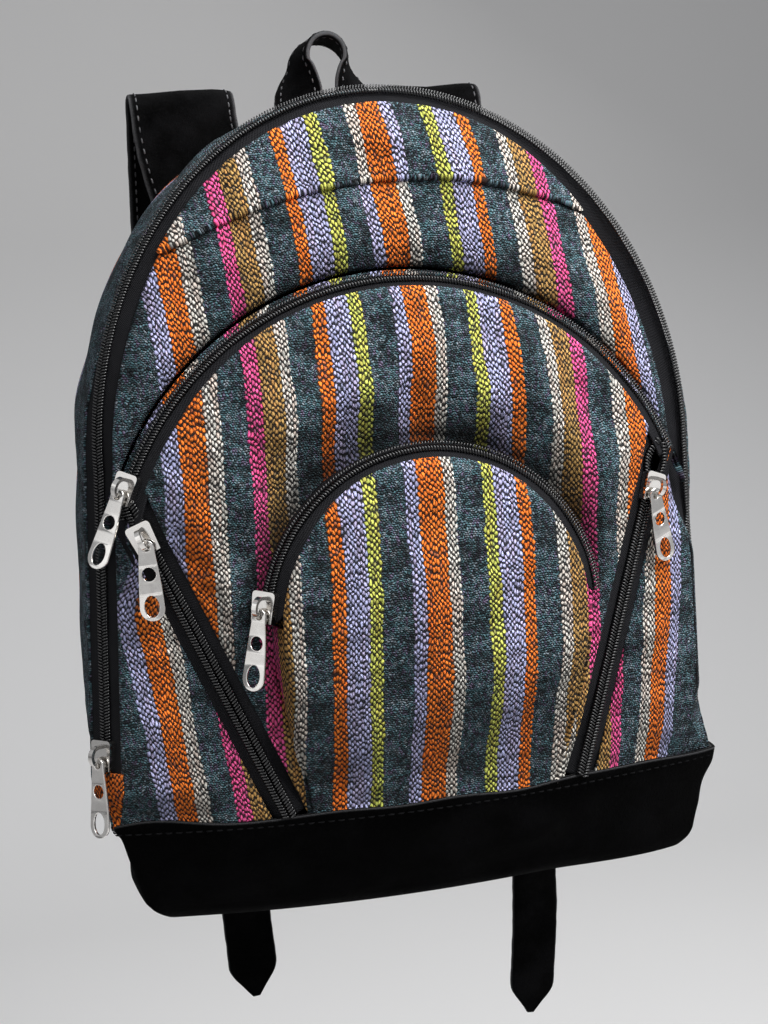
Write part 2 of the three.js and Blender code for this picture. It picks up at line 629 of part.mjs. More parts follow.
function smallPanel() {
  const outline = [];
  const radius = SMALL_RADIUS - POCKET_REACH;
  for (let k = 0; k <= SMALL_STEPS; k += 1) {
    const angle = lerp(-SMALL_END, SMALL_END, k / SMALL_STEPS);
    outline.push([
      SMALL_CENTRE_X + radius * Math.sin(angle),
      SMALL_CENTRE_HEIGHT + radius * Math.cos(angle),
    ]);
  }
  const hip = SMALL_CENTRE_HEIGHT + radius * Math.cos(SMALL_END);
  const sideHeights = [0.8, 0.55, 0.3, 0.12].map((share) => share * hip);
  const hipHalf = radius * Math.sin(SMALL_END);
  const sideX = (height) => lerp(SMALL_FOOT_HALF, hipHalf, smoothstep(height, -0.4 * hip, hip));
  const sideRow = (sign, height) => [SMALL_CENTRE_X * (height / hip) + sign * sideX(height), height];
  sideHeights.forEach((height) => outline.push(sideRow(1, height)));
  const foot = sideX(0);
  for (let k = 0; k <= 6; k += 1) outline.push([lerp(foot, -foot, k / 6), GAP]);
  sideHeights.reverse().forEach((height) => outline.push(sideRow(-1, height)));
  return webPanel(outline, [SMALL_CENTRE_X, SMALL_CENTRE_HEIGHT], smallForward, [0, 0.2, 0.5, 1]);
}

// Face of a corner panel, between a slash zip (share 0) and the main zip (share 1).
function cornerPoint(side, height, share) {
  const innerX = slashEdgeX(side, height, CORNER_EDGE);
  const inner = at(innerX, slashForward(side, innerX, height), height);
  const t = side < 0 ? sideT(height) : 3 - sideT(height);
  const outer = mainEdge(t, POCKET_EDGE, PANEL_ABOVE);
  outer.z = SEAM_HEIGHT + height;
  const swell = CORNER_SWELL * inner.distanceTo(outer);
  const point = inner.lerp(outer, share);
  point.y -= swell * 4 * share * (1 - share);
  point.y = lerp(-seamForward(point.x), point.y, smoothstep(height, 0, EDGE_FULL_HEIGHT));
  return point;
}

// Edge of the front panel where a corner panel covers it
function behindCorner(side, height) {
  const point = cornerPoint(side, height, 0.8);
  point.y += 1.6 * CLOTH + GAP;
  return point;
}

function cornerPanel(side) {
  const top = side < 0 ? CORNER_TOP : CORNER_RIGHT_TOP;
  const heights = [GAP, EDGE_FULL_HEIGHT / 2, ...range(EDGE_FULL_HEIGHT, top, 6)];
  const rows = range(0, 1, 4).map((share) => heights.map((height) => cornerPoint(side, height, share)));
  return gridSolid(rows, thicken(rows, CLOTH));
}

// A patch of cloth that closes the seam below the end of the main zip
function zipEndPatch(side) {
  const heights = [2 * GAP, EDGE_FULL_HEIGHT / 2, EDGE_FULL_HEIGHT, MAIN_END_HEIGHT - CLOTH];
  const rows = heights.map((height) => {
    const t = side < 0 ? sideT(height) : 3 - sideT(height);
    const front = cornerPoint(side, height, 1);
    const rear = mainEdge(t, -POCKET_EDGE, PANEL_ABOVE);
    rear.z = SEAM_HEIGHT + height;
    const margin = (GAP + EDGE_SETBACK) / front.distanceTo(rear);
    return range(margin, 1 - margin, 3).map((share) => front.clone().lerp(rear, share));
  });
  return gridSolid(rows, thicken(rows, CLOTH));
}

// One half of a zip: tape with its coil on the outer face. side 1 lies towards `across`, -1 away from it.
function stringer(frames, side) {
  const inner = COIL_SPLIT / 2;
  const outer = inner + COIL_WIDTH;
  const middle = (inner + outer) / 2;
  const shoulder = 0.55 * COIL_HEIGHT;
  const section = [
    [inner, -TAPE], [TAPE_HALF, -TAPE], [TAPE_HALF, 0], [outer, 0], [outer, shoulder],
    [(outer + middle) / 2, COIL_HEIGHT], [(inner + middle) / 2, COIL_HEIGHT], [inner, shoulder],
  ].map(([across, above]) => [side * across, above]);
  return sweepSolid(section, frames.map((f) => ({ origin: f.point, a: f.across, b: f.normal })));
}

function range(from, to, steps) {
  return Array.from({ length: steps + 1 }, (_, k) => lerp(from, to, k / steps));
}

function mainFrames(fold) {
  const start = sideT(MAIN_END_HEIGHT);
  const arch = range(1, 2, ARCH_STEPS);
  return [start, ...arch, 3 - start].map((t) => mainZip(t, fold));
}

// A slash zip runs up from the seam. Its normal leans out with the fall of the cloth.
function slashZip(side) {
  const { footX, topX, topHeight } = slashOf(side);
  const low = at(side * footX, seamForward(footX), 0);
  const high = at(side * topX, SLASH_TOP_FORWARD, topHeight);
  const along = high.clone().sub(low).normalize();
  const fall = new THREE.Vector3(side, SLASH_SLOPE, 0).normalize();
  const normal = along.clone().cross(fall).multiplyScalar(-side).normalize();
  const reach = high.distanceTo(low);
  const place = (distance) => zipFrame(low.clone().addScaledVector(along, distance), along, normal);
  return { place, reach };
}

// Slider body round the two coils: floor, roof with side flanges, neck between the coils and the pull's bail.
const SLIDER_HALF = COIL_SPLIT / 2 + COIL_WIDTH + SLIDER_PLAY + SLIDER_FLANGE;
const ROOF_LOW = COIL_HEIGHT + SLIDER_PLAY;
const ROOF_HIGH = ROOF_LOW + SLIDER_TOP;
const FLOOR_HIGH = -TAPE - SLIDER_PLAY;
const BAIL_CENTRE = ROOF_HIGH + BAIL_LEG;

function extrude(shape, depth, curveSegments) {
  return new THREE.ExtrudeGeometry(shape, { depth, bevelEnabled: false, curveSegments });
}

function plate(shape, low, high) {
  const solid = extrude(shape, high - low, 6);
  solid.translate(0, 0, low);
  return solid;
}

function shield(inset = 0) {
  const half = SLIDER_HALF - inset;
  const tail = half - SLIDER_TAPER;
  const end = SLIDER_LENGTH / 2 - inset;
  const round = 0.35 * half;
  const shape = new THREE.Shape();
  shape.moveTo(-tail, -end);
  shape.lineTo(tail, -end);
  shape.lineTo(half, end - round);
  shape.quadraticCurveTo(half, end, half - round, end);
  shape.lineTo(round - half, end);
  shape.quadraticCurveTo(-half, end, -half, end - round);
  shape.closePath();
  return shape;
}

function box(x, y, z, wide, long, high) {
  const solid = new THREE.BoxGeometry(wide, long, high);
  solid.translate(x, y, z);
  return solid;
}

function bail() {
  const outer = BAIL_RADIUS + BAIL_BAR / 2;
  const inner = BAIL_RADIUS - BAIL_BAR / 2;
  const root = -BAIL_LEG - SLIDER_TOP / 2;
  const shape = new THREE.Shape();
  shape.moveTo(outer, root);
  shape.lineTo(outer, 0);
  shape.absarc(0, 0, outer, 0, Math.PI, false);
  shape.lineTo(-outer, root);
  shape.lineTo(-inner, root);
  shape.lineTo(-inner, 0);
  shape.absarc(0, 0, inner, Math.PI, 0, true);
  shape.lineTo(inner, root);
  shape.closePath();
  const arch = extrude(shape, BAIL_WIDTH, 8);
  arch.translate(0, 0, -BAIL_WIDTH / 2);
  arch.rotateX(Math.PI / 2);
  arch.rotateZ(Math.PI / 2);
  arch.translate(0, 0, BAIL_CENTRE);
  return arch;
}

function sliderGeometry() {
  const channel = SLIDER_HALF - SLIDER_FLANGE;
  const flangeLow = SLIDER_PLAY;
  const roof = plate(shield(), flangeLow, ROOF_HIGH);
  const tunnel = box(0, 0, (ROOF_LOW - 1) / 2, 2 * channel, 2 * SLIDER_LENGTH, ROOF_LOW + 1);
  const floor = plate(shield(0.3), FLOOR_HIGH - SLIDER_FLOOR, FLOOR_HIGH);
  const neckY = SLIDER_LENGTH / 2 - 0.6 - NECK_LENGTH / 2;
  const neckLow = FLOOR_HIGH - SLIDER_FLOOR / 2;
  const neckHigh = ROOF_LOW + SLIDER_TOP / 2;
  const neck = box(0, neckY, (neckLow + neckHigh) / 2, NECK_WIDTH, NECK_LENGTH, neckHigh - neckLow);
  const shell = toSolid(roof).subtract(toSolid(tunnel)).add(toSolid(floor));
  return toGeometry(shell.add(toSolid(neck)).add(toSolid(bail())));
}

// Pull tab: an eye round the bail's leg, a round hole and a finger hole, pointing away from the slider.
function pullGeometry(swing) {
  const eye = -BAIL_RADIUS;
  const tip = eye - PULL_LENGTH + PULL_TIP_HALF;
  const shape = new THREE.Shape();
  const neckHalf = 0.8 * PULL_EYE_HALF;
  shape.absarc(0, eye, PULL_EYE_HALF - 1, 0, Math.PI, false);
  shape.lineTo(1 - PULL_EYE_HALF, eye);
  shape.quadraticCurveTo(-neckHalf, eye - 4, -PULL_EYE_HALF, eye - 8);
  shape.lineTo(-PULL_TIP_HALF, tip);
  shape.absarc(0, tip, PULL_TIP_HALF, Math.PI, 2 * Math.PI, false);
  shape.lineTo(PULL_EYE_HALF, eye - 8);
  shape.quadraticCurveTo(neckHalf, eye - 4, PULL_EYE_HALF - 1, eye);
  const slot = new THREE.Path();
  slot.absellipse(0, eye, BAIL_WIDTH / 2 + PULL_PLAY, BAIL_BAR / 2 + PULL_PLAY, 0, 2 * Math.PI, true);
  const hole = new THREE.Path();
  hole.absarc(0, eye - 0.36 * PULL_LENGTH, PULL_HOLE_RADIUS, 0, 2 * Math.PI, true);
  const oval = new THREE.Path();
  oval.absellipse(0, tip + 0.8, PULL_OVAL[0], PULL_OVAL[1], 0, 2 * Math.PI, true);
  shape.holes.push(slot, hole, oval);
  const low = ROOF_HIGH + SLIDER_PLAY;
  const tab = extrude(shape, PULL_THICKNESS, 6);
  tab.translate(0, BAIL_RADIUS, low);
  tab.rotateZ(swing);
  tab.translate(0, -BAIL_RADIUS, 0);
  return tab;
}

// Suede base: a cup whose wall leans in towards a flat underside with a rounded edge.
function basePlan() {
  const path = new THREE.Path();
  const back = BACK_DEPTH;
  const side = SEAM_END + BASE_SIDE;
  const rear = SEAM_END - BASE_BACK;
  path.moveTo(-SEAM_END, 0);
  path.quadraticCurveTo(0, -2 * SEAM_BULGE, SEAM_END, 0);
  path.quadraticCurveTo(side, 1.5, side, BASE_FRONT_CORNER);
  path.lineTo(rear, back - BASE_BACK_CORNER);
  path.quadraticCurveTo(rear, back, rear - BASE_BACK_CORNER, back);
  path.lineTo(BASE_BACK_CORNER - rear, back);
  path.quadraticCurveTo(-rear, back, -rear, back - BASE_BACK_CORNER);
  path.lineTo(-side, BASE_FRONT_CORNER);
  path.quadraticCurveTo(-side, 1.5, -SEAM_END, 0);
  const steps = [14, 3, 1, 3, 2, 3, 1, 3];
  return path.curves.flatMap((curve, n) => range(0, 1, steps[n]).slice(0, -1).map((t) => curve.getPoint(t)));
}

function baseBoot() {
  const plan = basePlan();
  const middle = (BACK_DEPTH - SEAM_BULGE) / 2;
  const halfDepth = (BACK_DEPTH + SEAM_BULGE) / 2;
  const ring = (outset, z) => plan.map((point) => new THREE.Vector3(
    point.x * (1 + outset / SEAM_END),
    middle + (point.y - middle) * (1 + outset / halfDepth),
    z,
  ));
  const centre = (z) => plan.map(() => new THREE.Vector3(0, middle, z));
  const outside = BASE_PROFILE.map(([z, inset]) => ring(RIM_PROUD - inset, z));
  const inside = BASE_PROFILE.map(([z, inset]) => ring(RIM_PROUD - inset - SUEDE, z + SUEDE));
  const rim = ring(RIM_PROUD, SEAM_HEIGHT);
  const rimInside = ring(RIM_PROUD - SUEDE - CLOTH, SEAM_HEIGHT);
  const fold = ring(RIM_PROUD - SUEDE - CLOTH, SEAM_HEIGHT - RIM_FOLD);
  const rows = [centre(0), ...outside, rim, rimInside, fold, ...inside.reverse(), centre(SUEDE)];
  const points = rows.flat();
  const columns = plan.length;
  const triangles = [];
  for (let i = 0; i < rows.length - 1; i += 1) {
    for (let j = 0; j < columns; j += 1) {
      const next = (j + 1) % columns;
      const a = i * columns;
      const b = a + columns;
      triangles.push([a + j, a + next, b + next], [a + j, b + next, b + j]);
    }
  }
  return closedGeometry(points, triangles);
}

// A flat strip along a route: each station has a point, the way its width runs and a width.
function strip(stations, thickness) {
  const section = [[-0.5, -0.5], [0.5, -0.5], [0.5, 0.5], [-0.5, 0.5]];
  const frames = stations.map(({ point, wide, width }, n) => {
    const before = stations[Math.max(0, n - 1)].point;
    const after = stations[Math.min(stations.length - 1, n + 1)].point;
    const along = after.clone().sub(before).normalize();
    const across = wide.clone().addScaledVector(along, -wide.dot(along)).normalize();
    const facing = across.clone().cross(along);
    return { origin: point, a: across.multiplyScalar(width), b: facing.multiplyScalar(thickness) };
  });
  return sweepSolid(section, frames);
}

function arcPoints(centre, radius, from, to, steps) {
  return range(from, to, steps).map((angle) => [
    centre[0] + radius * Math.cos(angle),
    centre[1] + radius * Math.sin(angle),
  ]);
}

const BUCKLE_TOP_BAR = BUCKLE_HEIGHT + 1.5 * BUCKLE_BAR + BUCKLE_SLOT - BUCKLE_BAR / 2;
const BUCKLE_BEHIND = BACK_DEPTH + BUCKLE_STANDOFF;
const barClear = (thickness) => Math.hypot(BUCKLE_BAR, BUCKLE_THICKNESS) / 2 + GAP + thickness / 2;

// Shoulder strap: sewn on the back, up over its crest, down behind and folded round the buckle's top bar.
function shoulderStrap({ sign, crestX, buckleX }) {
  const back = BACK_DEPTH + GAP + STRAP / 2;
  const crest = [back + STRAP_CREST_RADIUS, STRAP_CREST_HEIGHT - STRAP_CREST_RADIUS - STRAP / 2];
  const fold = barClear(STRAP);
  const top = BUCKLE_TOP_BAR;
  const route = [
    [back, STRAP_ROOT_HEIGHT], [back, lerp(STRAP_ROOT_HEIGHT, crest[1], 0.5)],
    ...arcPoints(crest, STRAP_CREST_RADIUS, Math.PI, 0.12, 8),
  ];
  const drop = route[route.length - 1];
  const low = [BUCKLE_BEHIND + fold, top + STRAP_NECK];
  const curve = new THREE.CubicBezierCurve(
    new THREE.Vector2(...drop),
    new THREE.Vector2(drop[0] + STRAP_BOW * 0.6, lerp(drop[1], low[1], 0.35)),
    new THREE.Vector2(low[0] + STRAP_BOW, lerp(drop[1], low[1], 0.72)),
    new THREE.Vector2(...low),
  );
  range(0, 1, 12).slice(1).forEach((t) => route.push(curve.getPoint(t).toArray()));
  const hang = route.length - 1;
  route.push([BUCKLE_BEHIND + fold, top + 2 * STRAP]);
  arcPoints([BUCKLE_BEHIND, top], fold, 0, -Math.PI, 8).forEach((p) => route.push(p));
  route.push([BUCKLE_BEHIND - fold, top + STRAP_FOLD]);
  const stations = route.map(([y, height], n) => {
    const rise = smoothstep(height, STRAP_ROOT_HEIGHT, STRAP_CREST_HEIGHT - STRAP_CREST_RADIUS);
    const behind = y > crest[0];
    const fall = behind ? smoothstep(crest[1] - height, 0, crest[1] - low[1]) : 0;
    const x = behind || n >= hang ? lerp(crestX, buckleX, fall) : lerp(sign * STRAP_ROOT_X, crestX, rise);
    const width = n >= hang ? WEBBING_WIDTH : lerp(STRAP_WIDTH, WEBBING_WIDTH, smoothstep(fall, 0.72, 1));
    const place = n >= hang ? buckleX : x;
    return { point: at(place, -y, height), wide: RIGHT, width };
  });
  return strip(stations, STRAP);
}

// Adjuster: sewn on the back of the base, up to the buckle, over its middle bar and down as a free tail.
function adjuster({ buckleX, tailX, tailBow, tailEnd, anchorX }) {
  const fold = barClear(WEBBING);
  const start = BACK_DEPTH + RIM_PROUD + GAP + WEBBING / 2;
  const height = BUCKLE_HEIGHT;
  const route = [
    [start, ANCHOR_HEIGHT, anchorX], [start, ANCHOR_HEIGHT + ANCHOR_SEWN, anchorX],
    [lerp(start, BUCKLE_BEHIND - fold, 0.5), 0.5 * height, lerp(anchorX, buckleX, 0.55)],
    [BUCKLE_BEHIND - fold, height - TAIL_STRAIGHT, buckleX],
  ];
  arcPoints([BUCKLE_BEHIND, height], fold, Math.PI, 0, 8).forEach(([y, h]) => route.push([y, h, buckleX]));
  const fall = height - tailEnd;
  [0.25, 0.45, 0.62, 0.8].forEach((share) => {
    const x = lerp(buckleX, tailX, share) + tailBow * 4 * share * (1 - share);
    route.push([BUCKLE_BEHIND + fold + TAIL_DRIFT * share, height - fall * share, x]);
  });
  const behind = BUCKLE_BEHIND + fold + TAIL_DRIFT;
  route.push([behind, tailEnd + TAIL_POINT, tailX], [behind, tailEnd, tailX]);
  const stations = route.map(([y, h, x], n) => ({
    point: at(x, -y, h),
    wide: RIGHT,
    width: n === route.length - 1 ? 0.16 * WEBBING_WIDTH : WEBBING_WIDTH,
  }));
  return strip(stations, WEBBING);
}

// Buckle: a flat metal frame with a middle bar.
function buckle({ buckleX }) {
  const half = WEBBING_WIDTH / 2 + 1.5;
  const outerHalf = half + BUCKLE_SIDE;
  const outerHigh = 1.5 * BUCKLE_BAR + BUCKLE_SLOT;
  const round = 3;
  const shape = new THREE.Shape();
  shape.moveTo(round - outerHalf, -outerHigh);
  shape.lineTo(outerHalf - round, -outerHigh);
  shape.quadraticCurveTo(outerHalf, -outerHigh, outerHalf, round - outerHigh);
  shape.lineTo(outerHalf, outerHigh - round);
  shape.quadraticCurveTo(outerHalf, outerHigh, outerHalf - round, outerHigh);
  shape.lineTo(round - outerHalf, outerHigh);
  shape.quadraticCurveTo(-outerHalf, outerHigh, -outerHalf, outerHigh - round);
  shape.lineTo(-outerHalf, round - outerHigh);
  shape.quadraticCurveTo(-outerHalf, -outerHigh, round - outerHalf, -outerHigh);
  const sheet = extrude(shape, BUCKLE_THICKNESS, 4);
  sheet.translate(0, 0, -BUCKLE_THICKNESS / 2);
  const slotMiddle = (BUCKLE_BAR + BUCKLE_SLOT) / 2;
  const slot = (sign) => toSolid(box(0, sign * slotMiddle, 0, 2 * half, BUCKLE_SLOT, 2 * BUCKLE_THICKNESS));
  const frame = toGeometry(toSolid(sheet).subtract(slot(1)).subtract(slot(-1)));
  frame.rotateX(Math.PI / 2);
  const middle = at(buckleX, -BUCKLE_BEHIND, BUCKLE_HEIGHT);
  frame.translate(middle.x, middle.y, middle.z);
  return frame;
}

// Grab loop: a strip that faces forward at its two feet and turns edge-on over the crest.
function grabLoop() {
  const behind = BACK_DEPTH + GAP + LOOP_THICKNESS / 2;
  const rise = 1.25 * LOOP_NECK_X;
  const spring = LOOP_CREST_HEIGHT - LOOP_THICKNESS / 2 - rise;
  const stations = [];
  const station = (x, height, turn) => stations.push({
    point: at(x, -behind - LOOP_WIDTH / 2 * Math.sin(turn), height),
    wide: new THREE.Vector3(Math.cos(turn), -Math.sin(turn), 0),
    width: LOOP_WIDTH,
  });
  const leg = (side, share) => {
    const turn = LOOP_TURN * smoothstep(share, LOOP_FLAT, 1);
    const x = side * lerp(LOOP_FOOT_X, LOOP_NECK_X, smoothstep(share, 0.3, 1));
    station(x, lerp(LOOP_FOOT_HEIGHT, spring, share), side < 0 ? turn : Math.PI - turn);
  };
  range(0, 1, 6).forEach((share) => leg(-1, share));
  range(Math.PI, 0, 12).slice(1, -1).forEach((angle) => {
    const turn = lerp(Math.PI - LOOP_TURN, LOOP_TURN, angle / Math.PI);
    station(LOOP_NECK_X * Math.cos(angle), spring + rise * Math.sin(angle), turn);
  });
  range(1, 0, 6).forEach((share) => leg(1, share));
  return strip(stations, LOOP_THICKNESS);
}

// Assembly
const bag = new THREE.Group();
const hangBehind = BACK_DEPTH + GAP + LOOP_THICKNESS / 2 + LOOP_WIDTH / 2;
const hangSeat = at(0, -hangBehind, LOOP_CREST_HEIGHT - LOOP_THICKNESS);
bag.position.copy(hangSeat).negate();

function addPiece(parent, name, geometry, finish) {
  const mesh = new THREE.Mesh(geometry, new THREE.MeshStandardMaterial(FINISHES[finish]));
  mesh.name = name;
  mesh.geometry.computeVertexNormals();
  parent.add(mesh);
  return mesh;
}

addPiece(bag, 'back_panel', backPanel(), 'cloth');
addPiece(bag, 'gusset', gusset(), 'cloth');
addPiece(bag, 'front_panel', frontPanel(), 'cloth');
addPiece(bag, 'middle_pocket_panel', middlePanel(), 'cloth');
addPiece(bag, 'small_pocket_panel', smallPanel(), 'cloth');
addPiece(bag, 'base_boot', baseBoot(), 'suede');

const middleFrames = range(-MIDDLE_LEFT_END, MIDDLE_RIGHT_END, MIDDLE_STEPS).map(middleZip);
const smallFrames = range(-SMALL_END, SMALL_END, SMALL_STEPS).map(smallZip);
const zips = {
  main: [mainFrames(MAIN_FOLD_INNER), mainFrames(MAIN_FOLD_OUTER)],
  middle: [middleFrames, middleFrames],
  small: [smallFrames, smallFrames],
};
Object.entries(zips).forEach(([name, [inner, outer]]) => {
  addPiece(bag, `${name}_zip_inner_tape`, stringer(inner, 1), 'tape');
  addPiece(bag, `${name}_zip_outer_tape`, stringer(outer, -1), 'tape');
});

// A slider and its pull on a zip, in the frame of the track at the slider's rest place.
function addSlider(name, frame, swing) {
  const seat = new THREE.Group();
  seat.matrix.makeBasis(frame.across, frame.along, frame.normal);
  seat.matrix.setPosition(frame.point);
  seat.matrix.decompose(seat.position, seat.quaternion, seat.scale);
  addPiece(seat, `${name}_slider`, sliderGeometry(), 'nickel');
  addPiece(seat, `${name}_pull`, pullGeometry(swing), 'nickel');
  bag.add(seat);
}

const sliderHalf = SLIDER_LENGTH / 2 + SLIDER_STAND;
addSlider('main', mainZip(sideT(MAIN_SLIDER_HEIGHT)), 0);
addSlider('middle', middleZip(-MIDDLE_LEFT_END + sliderHalf / MIDDLE_RADIUS), 0);
addSlider('small', smallZip(-SMALL_END + sliderHalf / SMALL_RADIUS), 0);

Object.entries(SIDES).forEach(([name, side]) => {
  const { sign } = side;
  const slash = slashZip(sign);
  const frames = [slash.place(GAP + TAPE_HALF * 0.5), slash.place(slash.reach - SLASH_TUCK)];
  addPiece(bag, `${name}_slash_zip_inner_tape`, stringer(frames, -sign), 'tape');
  addPiece(bag, `${name}_slash_zip_outer_tape`, stringer(frames, sign), 'tape');
  const open = sign < 0 ? 0 : RIGHT_SLASH_OPEN;
  const swing = sign < 0 ? LEFT_SLASH_SWING : RIGHT_SLASH_SWING;
  addSlider(`${name}_slash`, slash.place(slash.reach - SLASH_TUCK - sliderHalf - open), swing);
  addPiece(bag, `${name}_corner_panel`, cornerPanel(sign), 'cloth');
  addPiece(bag, `${name}_zip_end_patch`, zipEndPatch(sign), 'patch');
  addPiece(bag, `${name}_shoulder_strap`, shoulderStrap(side), 'suede');
  addPiece(bag, `${name}_adjuster`, adjuster(side), 'suede');
  addPiece(bag, `${name}_buckle`, buckle(side), 'nickel');
});
addPiece(bag, 'grab_loop', grabLoop(), 'suede');

const backpack = new THREE.Group();
backpack.add(bag);
export default backpack;
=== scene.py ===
"""Looks of a backpack of striped handwoven cloth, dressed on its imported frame.

Lengths in this file are millimetres in the bag's own frame, where x runs to the right, y backward and z up
from the seam of the base. They become metres in the shared frame when a mesh is made.
"""

import logging
import math
from dataclasses import dataclass, field
from enum import Enum
from typing import Any, Callable, Sequence

import bpy
import numpy as np
from mathutils import Matrix, Vector


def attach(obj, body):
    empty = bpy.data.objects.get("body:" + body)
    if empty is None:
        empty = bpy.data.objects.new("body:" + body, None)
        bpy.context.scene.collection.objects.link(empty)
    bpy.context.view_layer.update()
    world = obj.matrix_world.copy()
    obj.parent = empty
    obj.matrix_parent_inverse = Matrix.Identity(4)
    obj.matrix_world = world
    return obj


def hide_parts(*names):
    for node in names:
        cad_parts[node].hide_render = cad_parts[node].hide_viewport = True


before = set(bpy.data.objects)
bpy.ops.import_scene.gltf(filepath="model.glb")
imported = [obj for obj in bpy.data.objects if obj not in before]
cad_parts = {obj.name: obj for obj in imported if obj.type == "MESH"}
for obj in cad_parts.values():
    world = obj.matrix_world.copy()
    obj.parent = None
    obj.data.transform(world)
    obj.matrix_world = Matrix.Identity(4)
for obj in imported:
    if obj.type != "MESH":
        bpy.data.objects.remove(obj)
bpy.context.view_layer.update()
LOG = logging.getLogger("backpack")

Array = np.ndarray
Piece = bpy.types.Object
Material = bpy.types.Material
HANG_POINT = np.array([0.0, 113.8, 340.0])  # inside top of the grab loop, the shared origin
BAG_MIDDLE = np.array([0.0, 45.0, 120.0])
RIGHT = np.array([1.0, 0.0, 0.0])
POCKET_TILT = math.radians(45.0)  # how far the pocket zips face outward
CLOTH_FOOT = -1.5  # height of the cloth's lower edge, inside the base


def lerp(a: Any, b: Any, share: Any) -> Any:
    """Returns the value a share of the way from a to b."""
    return a + (b - a) * share


def smooth(x: Any, low: float, high: float) -> Any:
    """Returns a soft step from 0 at low to 1 at high."""
    share = np.clip((np.asarray(x, float) - low) / (high - low), 0.0, 1.0)
    return share * share * (3.0 - 2.0 * share)


def unit(v: Array) -> Array:
    """Returns v with its last axis scaled to length 1."""
    return v / np.maximum(np.linalg.norm(v, axis=-1, keepdims=True), 1e-12)


def stacked(*values: Any) -> Array:
    """Returns values side by side on a new last axis, each spread to the shape of all."""
    return np.stack(np.broadcast_arrays(*values), -1)


def at(x: Any, forward: Any, height: Any) -> Array:
    """Returns points by distance to the right, forward and above the base seam."""
    return stacked(x, -forward, height).astype(float)


def run_length(points: Array) -> Array:
    """Returns the distance along a line of points, from 0 at the first."""
    steps = np.linalg.norm(np.diff(points, axis=0), axis=1)
    return np.concatenate([[0.0], np.cumsum(steps)])


def picked(wanted: Array, run: Array, rows: Array) -> Array:
    """Returns rows of values read off at wanted distances along a run."""
    return np.stack([np.interp(wanted, run, column) for column in rows.T], axis=1)


def even_line(points: Array, count: int) -> Array:
    """Returns a number of points spaced evenly along a line."""
    run = run_length(points)
    return picked(np.linspace(0.0, run[-1], count), run, points)


def plane_ways(lean: float) -> tuple[Array, Array]:
    """Returns the ways up and outward of an upright plane that leans back."""
    sin, cos = math.sin(lean), math.cos(lean)
    return np.array([0.0, sin, cos]), np.array([0.0, -cos, sin])


def outline_places(start: float, sides: int, arch: int) -> Array:
    """Returns places on the bag's outline: to 1 on the left side, to 2 over the arch, then down the right."""
    side = np.linspace(start, 1.0, sides)
    return np.concatenate([side[:-1], np.linspace(1.0, 2.0, arch), 3.0 - side[::-1][1:]])


def smooth_line(points: Array, count: int) -> Array:
    """Draws a smooth curve through points.

    Args:
        points: Points on the line, one a row, of any number of columns.
        count: How many points to return.

    Returns:
        Points of the curve, evenly spaced by the rows' own spacing.
    """
    run = run_length(points[:, :3])
    slope = np.gradient(points, run, axis=0)
    wanted = np.linspace(0.0, run[-1], count)
    k = np.clip(np.searchsorted(run, wanted) - 1, 0, len(run) - 2)
    span = (run[k + 1] - run[k])[:, None]
    s = ((wanted - run[k]) / (run[k + 1] - run[k]))[:, None]
    low = (1 + 2 * s) * (1 - s) ** 2 * points[k] + s * (1 - s) ** 2 * span * slope[k]
    return low + s * s * (3 - 2 * s) * points[k + 1] + s * s * (s - 1) * span * slope[k + 1]


@dataclass(frozen=True)
class Relief:
    """Slow unevenness of a soft surface, made of seeded waves."""

    seed: int
    wavelength: float
    height: float
    waves: int = 16

    def at(self, x: Array, y: Array) -> Array:
        """Works out the height of the relief.

        Args:
            x: Places the one way.
            y: Places the other way.

        Returns:
            The height at each place.
        """
        rng = np.random.default_rng(self.seed)
        angle = rng.uniform(0.0, math.pi, self.waves)
        pace = 2.0 * math.pi / (self.wavelength * rng.uniform(0.55, 1.6, self.waves))
        phase = rng.uniform(0.0, 2.0 * math.pi, self.waves)
        total = np.zeros(np.broadcast(x, y).shape)
        for a, k, p in zip(angle, pace, phase):
            total = total + np.sin(k * (x * math.cos(a) + y * math.sin(a)) + p)
        return self.height * total / math.sqrt(self.waves / 2.0)


# Meshes


def placed(name: str, data: Any) -> Piece:
    """Returns a new object of some data, put in the scene."""
    made = bpy.data.objects.new(name, data)
    bpy.context.scene.collection.objects.link(made)
    return made


def shade_smooth(mesh: bpy.types.Mesh) -> None:
    """Shades every face of a mesh as part of a rounded form."""
    mesh.polygons.foreach_set("use_smooth", np.ones(len(mesh.polygons), bool))


def quads_of(rows: int, columns: int, ring: bool) -> Array:
    """Returns the quads of a grid by its points' numbers; in a ring the last column joins the first."""
    i, j = np.meshgrid(np.arange(rows - 1), np.arange(columns if ring else columns - 1), indexing="ij")
    low, high, nxt = i * columns, (i + 1) * columns, (j + 1) % columns
    return stacked(low + j, low + nxt, high + nxt, high + j).reshape(-1, 4)


